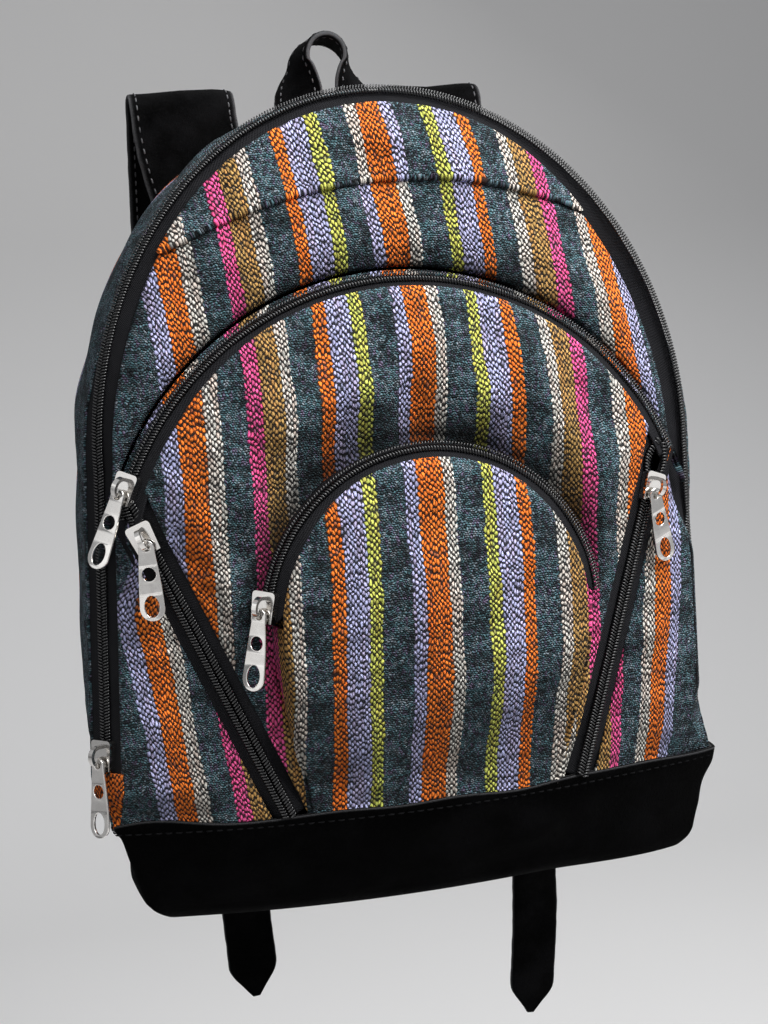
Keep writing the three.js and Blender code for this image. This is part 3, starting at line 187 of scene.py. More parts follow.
class MeshParts:
    """Collects grids and repeated small forms, and makes one mesh object of them."""

    def __init__(self) -> None:
        """Starts with nothing in it."""
        self.points: list[Array] = []
        self.places: list[Array] = []
        self.wear_and_painted_shade: list[Array] = []
        self.faces: list[list[int]] = []

    def _add(self, points: Array, faces: Array, places: Array, wear_and_painted_shade: Any = 0.0) -> "MeshParts":
        """Adds points with their faces, places on the flat cloth and a number for worn suede and for painted
        shade on cloth, and returns the parts.
        """
        self.faces.extend((faces + sum(map(len, self.points))).tolist())
        self.points.append(points)
        self.places.append(places)
        self.wear_and_painted_shade.append(np.broadcast_to(wear_and_painted_shade, len(points)))
        return self

    def grid(self, points: Array, places: Array, ring: bool = False, wear_and_painted_shade: Any = 0.0) -> "MeshParts":
        """Adds a grid of quads.

        Args:
            points: Points by row and column.
            places: Place of each point on the flat cloth.
            ring: Whether the last column joins the first.
            wear_and_painted_shade: Worn paleness of suede and painted shade of cloth, from 0 to 1, of each
                point or of all.

        Returns:
            The parts themselves.
        """
        rows, columns = points.shape[:2]
        wear_and_painted_shade = np.broadcast_to(wear_and_painted_shade, (rows, columns)).reshape(-1)
        return self._add(points.reshape(-1, 3), quads_of(rows, columns, ring), places.reshape(-1, 2), wear_and_painted_shade)

    def copies(self, form: tuple[Array, Array], origin: Array, *axes: Array) -> "MeshParts":
        """Repeats a small form at many frames.

        Args:
            form: Points and quads of the form in its own axes.
            origin: Origin of each frame.
            axes: First, second and third axis of each frame.

        Returns:
            The parts themselves.
        """
        points, quads = form
        number = np.arange(len(origin))
        spread = origin[:, None]
        for k, axis in enumerate(axes):
            spread = spread + points[:, k, None] * axis[:, None]
        faces = (quads + len(points) * number[:, None, None]).reshape(-1, quads.shape[1])
        places = np.repeat(number, len(points))[:, None]
        return self._add(spread.reshape(-1, 3), faces, np.hstack([places, places * 0.37]))

    def build(self, name: str, away_from: Array | None = None) -> Piece:
        """Makes the object.

        Args:
            name: Name of the object.
            away_from: A point that the faces turn away from on the whole, or None to leave them.

        Returns:
            The new object, in metres in the shared frame.
        """
        points = np.concatenate(self.points)
        if away_from is not None:
            quads = np.array([face[:4] for face in self.faces if len(face) >= 4])
            a, b, c, d = (points[quads[:, k]] for k in range(4))
            out = points[quads].mean(axis=1) - away_from
            if float((np.cross(c - a, d - b) * out).sum()) < 0.0:
                self.faces = [face[::-1] for face in self.faces]
        mesh = bpy.data.meshes.new(name)
        mesh.from_pydata(((points - HANG_POINT) / 1000.0).tolist(), [], self.faces)
        corner = np.empty(len(mesh.loops), np.int32)
        mesh.loops.foreach_get("vertex_index", corner)
        layer = mesh.uv_layers.new(name="cloth")
        layer.data.foreach_set("uv", np.concatenate(self.places)[corner].astype(np.float32).reshape(-1))
        wear_and_painted_shade = mesh.attributes.new("wear_and_painted_shade", "FLOAT", "POINT")
        wear_and_painted_shade.data.foreach_set("value", np.concatenate(self.wear_and_painted_shade).astype(np.float32))
        shade_smooth(mesh)
        mesh.update()
        return placed(name, mesh)


def rod(path: Array, radius: Sequence[float], sides: int) -> tuple[Array, Array]:
    """Makes a round rod with closed ends along a path in the plane of its first and third axes.

    Args:
        path: Points of the middle line.
        radius: Radius at each point.
        sides: Number of sides.

    Returns:
        Points and quads.
    """
    tangent = unit(np.gradient(path, axis=0))
    side = np.array([0.0, 1.0, 0.0])
    up = np.cross(side, tangent)
    turn = 2.0 * math.pi * np.arange(sides) / sides
    cos, sin = np.cos(turn)[:, None], np.sin(turn)[:, None]
    rings = [p + r * (cos * side + sin * u) for p, r, u in zip(path, radius, up)]
    points = np.concatenate([path[:1], *rings, path[-1:]])
    quads = (1 + quads_of(len(path), sides, ring=True)).tolist()
    last = 1 + (len(path) - 1) * sides
    for j in range(0, sides, 2):
        quads.append([0, 1 + (j + 2) % sides, 1 + (j + 1) % sides, 1 + j])
        quads.append([len(points) - 1, last + j, last + (j + 1) % sides, last + (j + 2) % sides])
    return points, np.array(quads)


# One stitch, which dips into the suede at both ends
STITCH = rod(
    np.array([[-1.35, 0, -0.35], [-1.0, 0, 0.12], [0, 0, 0.3], [1.0, 0, 0.12], [1.35, 0, -0.35]]),
    [0.2, 0.34, 0.38, 0.34, 0.2],
    6,
)


def give_thickness(piece: Piece, thickness: float) -> None:
    """Gives a sheet its thickness, inward from its face, in millimetres."""
    solid = piece.modifiers.new("thickness", "SOLIDIFY")
    solid.thickness = thickness / 1000.0
    solid.offset = -1.0


# Shaders


def math_method(operation: str, other_first: bool = False) -> Callable[..., "Value"]:
    """Makes a method that puts a value and others through a Math node.

    Args:
        operation: The node's operation.
        other_first: Whether the others come first.

    Returns:
        The method.
    """

    def method(self: "Value", *others: Any) -> "Value":
        """Returns the node's result."""
        values = (*others, self) if other_first else (self, *others)
        return self.graph.node("ShaderNodeMath", {"operation": operation}, dict(enumerate(values)))["Value"]

    return method


class Value:
    """A shader socket that takes part in Python expressions."""

    __add__ = __radd__ = math_method("ADD")
    __sub__ = math_method("SUBTRACT")
    __rsub__ = math_method("SUBTRACT", other_first=True)
    __mul__ = __rmul__ = math_method("MULTIPLY")
    __truediv__ = math_method("DIVIDE")
    __rtruediv__ = math_method("DIVIDE", other_first=True)
    __pow__ = math_method("POWER")
    __gt__ = math_method("GREATER_THAN")
    __abs__ = math_method("ABSOLUTE")
    floor = math_method("FLOOR")
    sine = math_method("SINE")
    least = math_method("MINIMUM")
    most = math_method("MAXIMUM")

    def __init__(self, graph: "Graph", socket: bpy.types.NodeSocket) -> None:
        """Wraps a socket of a graph."""
        self.graph = graph
        self.socket = socket

    def step(self, low: float, high: float) -> "Value":
        """Returns a soft step from 0 at low to 1 at high."""
        settings = {"interpolation_type": "SMOOTHSTEP"}
        inputs = {"Value": self, "From Min": low, "From Max": high}
        return self.graph.node("ShaderNodeMapRange", settings, inputs)["Result"]


class Graph:
    """The node tree of one material or of the world."""

    def __init__(self, owner: Material | bpy.types.World) -> None:
        """Starts the owner's tree empty."""
        owner.use_nodes = True
        self.owner = owner
        self.tree = owner.node_tree
        self.tree.nodes.clear()

    def node(self, kind: str, settings: dict[str, Any], inputs: dict[Any, Any]) -> "Outputs":
        """Adds a node.

        Args:
            kind: Type of the node.
            settings: Its settings, set first; stops is a ramp's list of place and colour.
            inputs: Values or links of its sockets by name or number.

        Returns:
            The node's outputs.
        """
        made = self.tree.nodes.new(kind)
        for name, value in settings.items():
            if name == "stops":
                self._stops(made.color_ramp, value)
            else:
                setattr(made, name, value)
        for name, value in inputs.items():
            socket = made.inputs[name]
            if isinstance(value, Value):
                self.tree.links.new(value.socket, socket)
            else:
                socket.default_value = value
        return Outputs(self, made)

    def _stops(self, ramp: bpy.types.ColorRamp, stops: Sequence[tuple[float, tuple[float, ...]]]) -> None:
        """Sets the stops of a ramp in constant steps.

        Args:
            ramp: The ramp.
            stops: Place and colour of each stop.
        """
        ramp.interpolation = "CONSTANT"
        while len(ramp.elements) > 1:
            ramp.elements.remove(ramp.elements[-1])
        ramp.elements[0].position, ramp.elements[0].color = stops[0]
        for place, tone in stops[1:]:
            ramp.elements.new(place).color = tone

    def place(self) -> tuple[Value, Value]:
        """Returns the two coordinates on the flat cloth."""
        uv = self.node("ShaderNodeUVMap", {"uv_map": "cloth"}, {})["UV"]
        parts = self.node("ShaderNodeSeparateXYZ", {}, {"Vector": uv})
        return parts["X"], parts["Y"]

    def point(self, x: Any, y: Any, z: Any = 0.0) -> Value:
        """Returns a vector of three values."""
        return self.node("ShaderNodeCombineXYZ", {}, {"X": x, "Y": y, "Z": z})["Vector"]

    def solid_place(self) -> Value:
        """Returns the place of a point in the object's own space, in metres."""
        return self.node("ShaderNodeTexCoord", {}, {})["Object"]

    def noise(self, vector: Value, scale: float, detail: float = 2.0, rough: float = 0.5) -> Value:
        """Returns smooth noise about 0.5."""
        inputs = {"Vector": vector, "Scale": scale, "Detail": detail, "Roughness": rough}
        return self.node("ShaderNodeTexNoise", {}, inputs)["Fac"]

    def scatter(self, vector: Value) -> Value:
        """Returns a number from 0 to 1 that jumps from place to place."""
        return self.node("ShaderNodeTexWhiteNoise", {"noise_dimensions": "3D"}, {"Vector": vector})["Value"]

    def attribute(self, name: str) -> Value:
        """Returns a number kept on the points of the mesh."""
        return self.node("ShaderNodeAttribute", {"attribute_name": name}, {})["Fac"]

    def mix(self, share: Any, first: Any, second: Any) -> Value:
        """Returns a colour between two colours."""
        inputs = {0: share, 6: first, 7: second}
        return self.node("ShaderNodeMix", {"data_type": "RGBA"}, inputs)[2]

    def scaled(self, tone: Value, share: Value) -> Value:
        """Returns a colour made brighter or darker by a factor."""
        inputs = {0: tone, "Scale": share}
        return self.node("ShaderNodeVectorMath", {"operation": "SCALE"}, inputs)["Vector"]

    def tinted(self, tone: Value, tint: tuple[float, float, float]) -> Value:
        """Returns a colour with its channels scaled by a tint's."""
        return self.node("ShaderNodeVectorMath", {"operation": "MULTIPLY"}, {0: tone, 1: tint})["Vector"]

    def bump(self, height: Value, distance: float, strength: float = 1.0) -> Value:
        """Returns the normal of a surface with a height of 0 to 1 over a distance in metres."""
        inputs = {"Height": height, "Distance": distance, "Strength": strength}
        return self.node("ShaderNodeBump", {}, inputs)["Normal"]

    def surface(self, inputs: dict[str, Any]) -> Material:
        """Ends the graph with a surface of some values or links, and returns the material."""
        shader = self.node("ShaderNodeBsdfPrincipled", {}, inputs)["BSDF"]
        self.node("ShaderNodeOutputMaterial", {}, {"Surface": shader})
        return self.owner


class Outputs:
    """The outputs of a node, by name or number."""

    def __init__(self, graph: Graph, node: bpy.types.Node) -> None:
        """Wraps a node of a graph."""
        self.graph = graph
        self.made = node

    def __getitem__(self, name: str | int) -> Value:
        """Returns the output of that name or number."""
        return Value(self.graph, self.made.outputs[name])


def colour(red: float, green: float, blue: float) -> tuple[float, float, float, float]:
    """Turns a screen colour into a linear one.

    Args:
        red: Red from 0 to 255.
        green: Green from 0 to 255.
        blue: Blue from 0 to 255.

    Returns:
        The linear colour, with an alpha of 1.
    """

    def channel(value: float) -> float:
        """Returns one channel in linear light."""
        share = value / 255.0
        return share / 12.92 if share <= 0.04045 else ((share + 0.055) / 1.055) ** 2.4

    return channel(red), channel(green), channel(blue), 1.0


class Yarn(Enum):
    """The yarns of the stripes, by their screen colours."""

    ORANGE = (255, 136, 50)
    LILAC = (190, 195, 238)
    SLATE = (62, 75, 82)
    LIME = (208, 217, 104)
    WHITE = (222, 221, 212)
    KHAKI = (190, 152, 90)
    PINK = (250, 100, 166)
    TEAL = (50, 72, 73)

    def linear(self) -> tuple[float, float, float, float]:
        """Returns the yarn's linear colour; its last number is 0 for the fine dark yarns."""
        return (*colour(*self.value)[:3], 0.0 if self in (Yarn.SLATE, Yarn.TEAL) else 1.0)


class Slot(Enum):
    """The record's material slots."""

    STRIPED = "striped_cloth"
    PATCH = "patch_cloth"
    TAPE = "zip_tape"
    SUEDE = "suede"
    NICKEL = "nickel"


@dataclass(frozen=True)
class Finish:
    """A named finish; each kind says what its surface is like."""

    name: str

    def inputs(self, g: Graph) -> dict[str, Any]:
        """Returns the values or links of the surface shader's sockets."""
        raise NotImplementedError

    def material(self) -> Material:
        """Returns the finish's material."""
        g = Graph(bpy.data.materials.new(self.name))
        return g.surface(self.inputs(g))


@dataclass(frozen=True)
class WovenCloth(Finish):
    """Handwoven cloth of thick warp yarns, whose floats lie as beads in staggered columns.

    The dark yarns are finer, and cross each other evenly.
    """

    pitch: float = 1.1
    float_length: float = 2.75
    bead_width: float = 1.42
    bead_length: float = 2.15
    fine_pitch: float = 0.95
    fine_length: float = 1.3
    stripes: tuple[tuple[float, Yarn], ...] = ()
    reach: float = 150.0

    def beads(self, g: Graph, across: Value, along: Value, shift: float) -> tuple[Value, Value, Value]:
        """Lays the beads of every other column.

        Args:
            g: The material's graph.
            across: Place across the warp.
            along: Place along the warp.
            shift: 0 for the even columns, 0.5 for the odd ones.

        Returns:
            The beads' height from 0 to 1, their column's place across, and a chance number for each bead.
        """
        wide = 2.0 * self.pitch
        columns = across / wide + shift
        column = columns.floor()
        drift = g.noise(g.point(column * 3.7, along * 0.05, 2.0 + shift), 1.0, 1.0)
        rows = along / self.float_length + shift + (drift - 0.5) * 1.1
        row = rows.floor()
        chance = g.scatter(g.point(column, row, shift))
        side = abs(columns - column - 0.5) * (2.0 * wide / self.bead_width)
        end = abs(rows - row - 0.5) * (2.0 * self.float_length / self.bead_length)
        far = (side ** 2.0 + end ** 2.2) * (0.74 + chance * 0.76)
        return (1.0 - far).most(0.0) ** 0.5, (column + (0.5 - shift)) * wide, chance

    def fine_face(self, g: Graph, across: Value, along: Value, fibre: Value) -> tuple[Value, Value]:
        """Lays the thin crossing threads of the dark stripes.

        Args:
            g: The material's graph.
            across: Place across the warp.
            along: Place along the warp.
            fibre: Noise of the fibres.

        Returns:
            The threads' colour and height.
        """
        rows = along / self.fine_pitch
        row = rows.floor()
        columns = across / self.fine_length + row * 0.5
        column = columns.floor()
        chance = g.scatter(g.point(column, row, 6.0))
        side, end = abs(columns - column - 0.5) * 2.0, abs(rows - row - 0.5) * 2.0
        thread = (1.0 - side ** 2.0 * 0.7 - end ** 2.0 * 0.9).most(0.0)
        uneven = g.noise(g.point(across * 0.05, along * 0.075, 9.0), 1.0, 2.0)
        hue = g.noise(g.point(across * 0.8, along * 0.22, 8.0), 1.0, 2.0)
        tint = g.mix(hue.step(0.36, 0.48), colour(130, 116, 146), colour(92, 134, 142))
        tint = g.mix(hue.step(0.5, 0.64), tint, colour(156, 166, 176))
        # Slow patches darken the threads: partly uneven dye, partly painted shade of the cloth's puckers.
        lit = thread * (fibre * 1.2 + chance * 1.5 - 0.5) * (uneven.step(0.34, 0.62) * 0.95 + 0.4)
        return g.mix(lit.most(0.0).least(1.0), colour(7, 9, 11), tint), thread * 0.6 + chance * 0.3

    def inputs(self, g: Graph) -> dict[str, Any]:
        """Works out the surface of striped cloth, its stripes wavering a little.

        Args:
            g: The material's graph.

        Returns:
            Values or links of the surface shader's sockets.
        """
        flat_across, flat_along = g.place()
        slow = g.point(flat_across * 0.03, flat_along * 0.014)
        quick = g.point(flat_across * 0.16, flat_along * 0.11, 7.0)
        tremble = g.noise(g.point(flat_across * 0.5, flat_along * 0.36, 4.0), 1.0, 1.0) - 0.5
        across = flat_across + (g.noise(slow, 1.0, 1.0) - 0.5) * 5.0
        across = across + (g.noise(quick, 1.0, 1.0) - 0.5) * 1.6 + tremble * 1.1
        along = flat_along + (g.noise(quick, 1.0, 1.0) - 0.5) * 3.4 - tremble * 1.8
        even_crown, even_place, even_chance = self.beads(g, across, along, 0.0)
        odd_crown, odd_place, odd_chance = self.beads(g, across, along, 0.5)
        odd = odd_crown > even_crown
        crown = even_crown.most(odd_crown)
        place = even_place + (odd_place - even_place) * odd
        chance = even_chance + (odd_chance - even_chance) * odd
        fibre = g.noise(g.point(across * 2.9 + along * 1.6, along * 0.9), 1.0, 3.0, 0.7)
        yarn = g.noise(g.point(place * 3.3, along * 0.045), 1.0, 3.0)
        stops = []
        low = -self.reach
        for high, stripe in self.stripes:
            stops.append(((low + self.reach) / (2.0 * self.reach), stripe.linear()))
            low = high
        share = (place + self.reach) / (2.0 * self.reach)
        ramp = g.node("ShaderNodeValToRGB", {"stops": stops}, {"Fac": share})
        # Each bead is painted lighter at its crown and darker towards its edges: painted highlight and shade
        # on its round form. Chance, yarn and fibre add tone that differs at random.
        depth = 0.18 + crown * 1.3 + (chance - 0.5) * 0.95 + (yarn - 0.5) * 0.9 + (fibre - 0.5) * 0.7
        face = g.scaled(ramp["Color"], depth.most(0.12))
        dye = g.noise(g.point(place * 0.7, along * 0.03, 5.0), 1.0, 2.0)
        redder = g.tinted(face, (0.98, 0.76, 0.7))
        # Redder where the dye runs unevenly, and redder towards each bead's edge as painted shade.
        face = g.mix((dye.step(0.42, 0.64) * 0.6 + (1.0 - crown) * 0.5).least(1.0), face, redder)
        face = g.mix((chance > 0.93) * 0.6, face, Yarn.SLATE.linear())
        weft = g.mix(fibre, colour(8, 10, 11), colour(38, 43, 46))
        weft = g.mix(0.14, weft, face)
        coarse = g.mix(crown.step(0.12, 0.5), weft, face)
        fine, low_height = self.fine_face(g, across, along, fibre)
        thick = ramp["Alpha"]
        height = crown + (fibre - 0.5) * 0.3 + (chance - 0.5) * 0.3
        bands = g.noise(g.point(flat_across * 0.02, flat_along * 0.1, 11.0), 1.0, 2.0)
        height = low_height + (height - low_height) * thick + bands * 3.6
        return {
            # The mesh's attribute darkens the cloth: painted shade in the folds beside the pocket zips.
            "Base Color": g.scaled(g.mix(thick, fine, coarse), 1.0 - g.attribute("wear_and_painted_shade") * 0.8),
            "Roughness": 0.88,
            "Specular IOR Level": 0.18,
            "Sheen Weight": 0.03,
            "Sheen Roughness": 0.6,
            "Normal": g.bump(height, 0.0012),
        }


def mirrored_stripes() -> tuple[tuple[float, Yarn], ...]:
    """Lays out the stripes, alike on both sides but for the two beside the middle.

    Returns:
        The stripes from left to right by their right edges.
    """
    half = [
        (5.3, Yarn.ORANGE), (10.8, Yarn.WHITE), (22.3, Yarn.SLATE), (28.4, Yarn.LIME), (37.6, Yarn.LILAC),
        (44.0, Yarn.ORANGE), (54.7, Yarn.SLATE), (59.8, Yarn.WHITE), (70.0, Yarn.KHAKI), (76.1, Yarn.PINK),
        (87.4, Yarn.TEAL), (93.6, Yarn.WHITE), (104.1, Yarn.ORANGE), (110.3, Yarn.LILAC), (150.0, Yarn.TEAL),
    ]
    left = [(-half[k - 1][0], half[k][1]) for k in range(len(half) - 1, 1, -1)]
    return (*left, (-half[0][0], Yarn.LILAC), *half)


@dataclass(frozen=True)
class ZipTape(Finish):
    """Black woven tape with fine ribs."""

    name: str = "zip_tape_black"

    def inputs(self, g: Graph) -> dict[str, Any]:
        """Works out the surface of the tape.

        Args:
            g: The material's graph.

        Returns:
            Values or links of the surface shader's sockets.
        """
        across, along = g.place()
        rib = ((across * 1.6 + along * 2.4) * math.pi).sine() * 0.5 + 0.5
        cross = ((along * 2.2 - across * 1.2) * math.pi).sine() * 0.5 + 0.5
        sheen_patches = g.noise(g.point(across * 0.4, along * 0.1), 1.0, 4.0)
        weave = rib * 0.6 + cross * 0.4
        # The black tape is lifted to grey along the ribs of its weave and in slow patches: painted sheen.
        base = g.mix(weave * 0.6 + sheen_patches * 0.4, colour(5, 5, 6), colour(42, 42, 46))
        return {
            "Base Color": base,
            "Roughness": 0.75,
            "Specular IOR Level": 0.15,
            "Normal": g.bump(weave, 0.0003),
        }


@dataclass(frozen=True)
class CoilNylon(Finish):
    """Black nylon of the zip coils."""

    name: str = "coil_nylon"

    def inputs(self, g: Graph) -> dict[str, Any]:
        """Returns the surface of the nylon."""
        across, _ = g.place()
        shade = g.scatter(g.point(across, 1.0))
        base = g.mix(shade, colour(6, 6, 7), colour(14, 14, 16))
        rough = 0.18 + shade * 0.1
        return {"Base Color": base, "Roughness": rough, "Specular IOR Level": 0.8}


@dataclass(frozen=True)
class Suede(Finish):
    """Black suede, paler and rubbed where it is worn; a higher nap tone paints it lighter, as painted light
    on the straps.
    """

    nap_tone_with_painted_light: float

    def inputs(self, g: Graph) -> dict[str, Any]:
        """Works out the surface of the suede.

        Args:
            g: The material's graph.

        Returns:
            Values or links of the surface shader's sockets.
        """
        where = g.solid_place()
        nap = g.noise(where, 2600.0, 3.0, 0.7)
        cloud = g.noise(where, 42.0, 4.0, 0.6)
        worn = g.attribute("wear_and_painted_shade")
        tone = self.nap_tone_with_painted_light
        base = g.mix(cloud.step(0.35, 0.7), colour(2, 2, 2), colour(tone, tone, tone + 1.0))
        base = g.mix(nap.step(0.5, 0.8) * 0.5, base, colour(2.4 * tone, 2.4 * tone, 2.5 * tone))
        rubbed = (worn * (0.55 + nap * 0.9)).step(0.25, 1.0)
        base = g.mix(rubbed * 0.8, base, colour(104, 104, 106))
        height = nap * 0.7 + g.noise(where, 700.0, 3.0) * 0.6
        return {
            "Base Color": base,
            "Roughness": 0.95,
            "Specular IOR Level": 0.03,
            "Sheen Weight": 0.012,
            "Sheen Roughness": 0.4,
            "Normal": g.bump(height, 0.0005),
        }


@dataclass(frozen=True)
class Nickel(Finish):
    """Bright nickel plate with fine handling marks."""

    name: str = "bright_nickel"

    def inputs(self, g: Graph) -> dict[str, Any]:
        """Returns the surface of the plate."""
        where = g.solid_place()
        cloud = g.noise(where, 380.0, 3.0)
        base = g.mix(cloud, colour(214, 210, 206), colour(238, 236, 232))
        rough = 0.13 + (cloud - 0.5) * 0.1
        return {"Base Color": base, "Metallic": 1.0, "Roughness": rough}


@dataclass(frozen=True)
class Thread(Finish):
    """Twisted sewing thread."""

    dark: tuple[float, float, float]
    pale: tuple[float, float, float]

    def inputs(self, g: Graph) -> dict[str, Any]:
        """Works out the surface of the thread.

        Args:
            g: The material's graph.

        Returns:
            Values or links of the surface shader's sockets.
        """
        across, _ = g.place()
        where = g.solid_place()
        shade = g.scatter(g.point(across, 5.0)) * 0.6 + g.noise(where, 2400.0) * 0.4
        base = g.mix(shade, colour(*self.dark), colour(*self.pale))
        normal = g.bump(shade, 0.0001)
        return {"Base Color": base, "Roughness": 0.85, "Specular IOR Level": 0.12, "Normal": normal}


class Wardrobe:
    """The finishes of the bag, each made once."""

    def __init__(self) -> None:
        """Makes every material."""
        patch = ((-40.0, Yarn.TEAL), (40.0, Yarn.ORANGE), (150.0, Yarn.TEAL))
        self.cloth = WovenCloth("striped_weave", stripes=mirrored_stripes()).material()
        self.patch = WovenCloth("orange_weave", stripes=patch).material()
        self.tape = ZipTape().material()
        self.coil = CoilNylon().material()
        self.suede = Suede("black_suede", 10.0).material()
        # The straps' suede is the black suede painted lighter, as painted light on the straps.
        self.strap_suede_painted_light = Suede("strap_suede_painted_light", 17.0).material()
        self.nickel = Nickel().material()
        self.thread = Thread("grey_thread", (66, 66, 68), (112, 112, 114)).material()
        self.black_thread = Thread("black_thread", (7, 7, 8), (17, 17, 19)).material()

    def dress(
        self, piece: Piece, finish: Material, slot: Slot, *nodes: str, body: str = "bag"
    ) -> None:
        """Puts a finish on a piece and sets the piece on its body.

        Args:
            piece: The piece.
            finish: Its material.
            slot: Its slot; not used.
            nodes: Solids that it stands for.
            body: The body that it rides on.
        """
        piece.data.materials.clear()
        piece.data.materials.append(finish)
        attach(piece, body)
        if nodes:
            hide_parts(*nodes)


def declare_sheet(piece: Piece, width: float, length: float) -> float:
    """Takes a stretched sheet and its flat size in millimetres, and returns the area of its face."""
    area = sum(face.area for face in piece.data.polygons)
    return area


# The sewn form


@dataclass
class Track:
    """Frames along a zip: its middle line with the ways along, across and outward."""

    point: Array
    along: Array
    normal: Array
    across: Array = field(init=False)

    def __post_init__(self) -> None:
        """Works out the way across."""
        self.across = np.cross(self.along, self.normal)

    def beside(self, across: Any, above: Any) -> Array:
        """Returns points a distance across the zip and above its face."""
        across = np.asarray(across, float)[..., None]
        above = np.asarray(above, float)[..., None]
        return self.point + self.across * across + self.normal * above

    def run(self) -> Array:
        """Returns the distance along the middle line."""
        return run_length(self.point)

    def spaced(self, pitch: float, start: float) -> "Track":
        """Returns frames at an even pitch, the first a distance from the beginning."""
        run = self.run()
        wanted = np.arange(start, run[-1], pitch)
        point, along, normal = (picked(wanted, run, rows) for rows in (self.point, self.along, self.normal))
        return Track(point, unit(along), unit(normal))

    def first(self) -> "Track":
        """Returns the first frame alone."""
        return Track(self.point[0], self.along[0], self.normal[0])


@dataclass(frozen=True)
class PocketArc:
    """The arc of a pocket's zip, in a plane that leans back, and the bulge of the cloth inside it."""

    x: float
    centre: float
    radius: float
    ahead: float
    lean: float
    bulge: float
    square: float

    def zip(self, t: Array, fold: float = 0.0) -> Track:
        """Places the zip's frames.

        Args:
            t: Angles from the top of the arc.
            fold: Angle by which a tape is turned outward.

        Returns:
            The frames.
        """
        t = np.asarray(t, float)[..., None]
        tilt = POCKET_TILT + fold
        up, facing = plane_ways(self.lean)
        radial = RIGHT * np.sin(t) + up * np.cos(t)
        along = RIGHT * np.cos(t) - up * np.sin(t)
        point = at(self.x, self.ahead, self.centre) + radial * self.radius
        return Track(point, along, radial * math.sin(tilt) + facing * math.cos(tilt))

    def line(self, radius: Any, angle: Array) -> Array:
        """Returns places across and heights on an arc of another radius."""
        return stacked(self.x + radius * np.sin(angle), self.centre + radius * np.cos(angle))

    def plane(self, height: Any) -> Any:
        """Returns how far forward the zip's plane lies."""
        return self.ahead - (height - self.centre) * math.tan(self.lean)

    def from_middle(self, x: Array, height: Array) -> Array:
        """Returns the distance from the arc's centre, or from the line straight below it."""
        return np.hypot(x - self.x, np.maximum(0.0, height - self.centre))


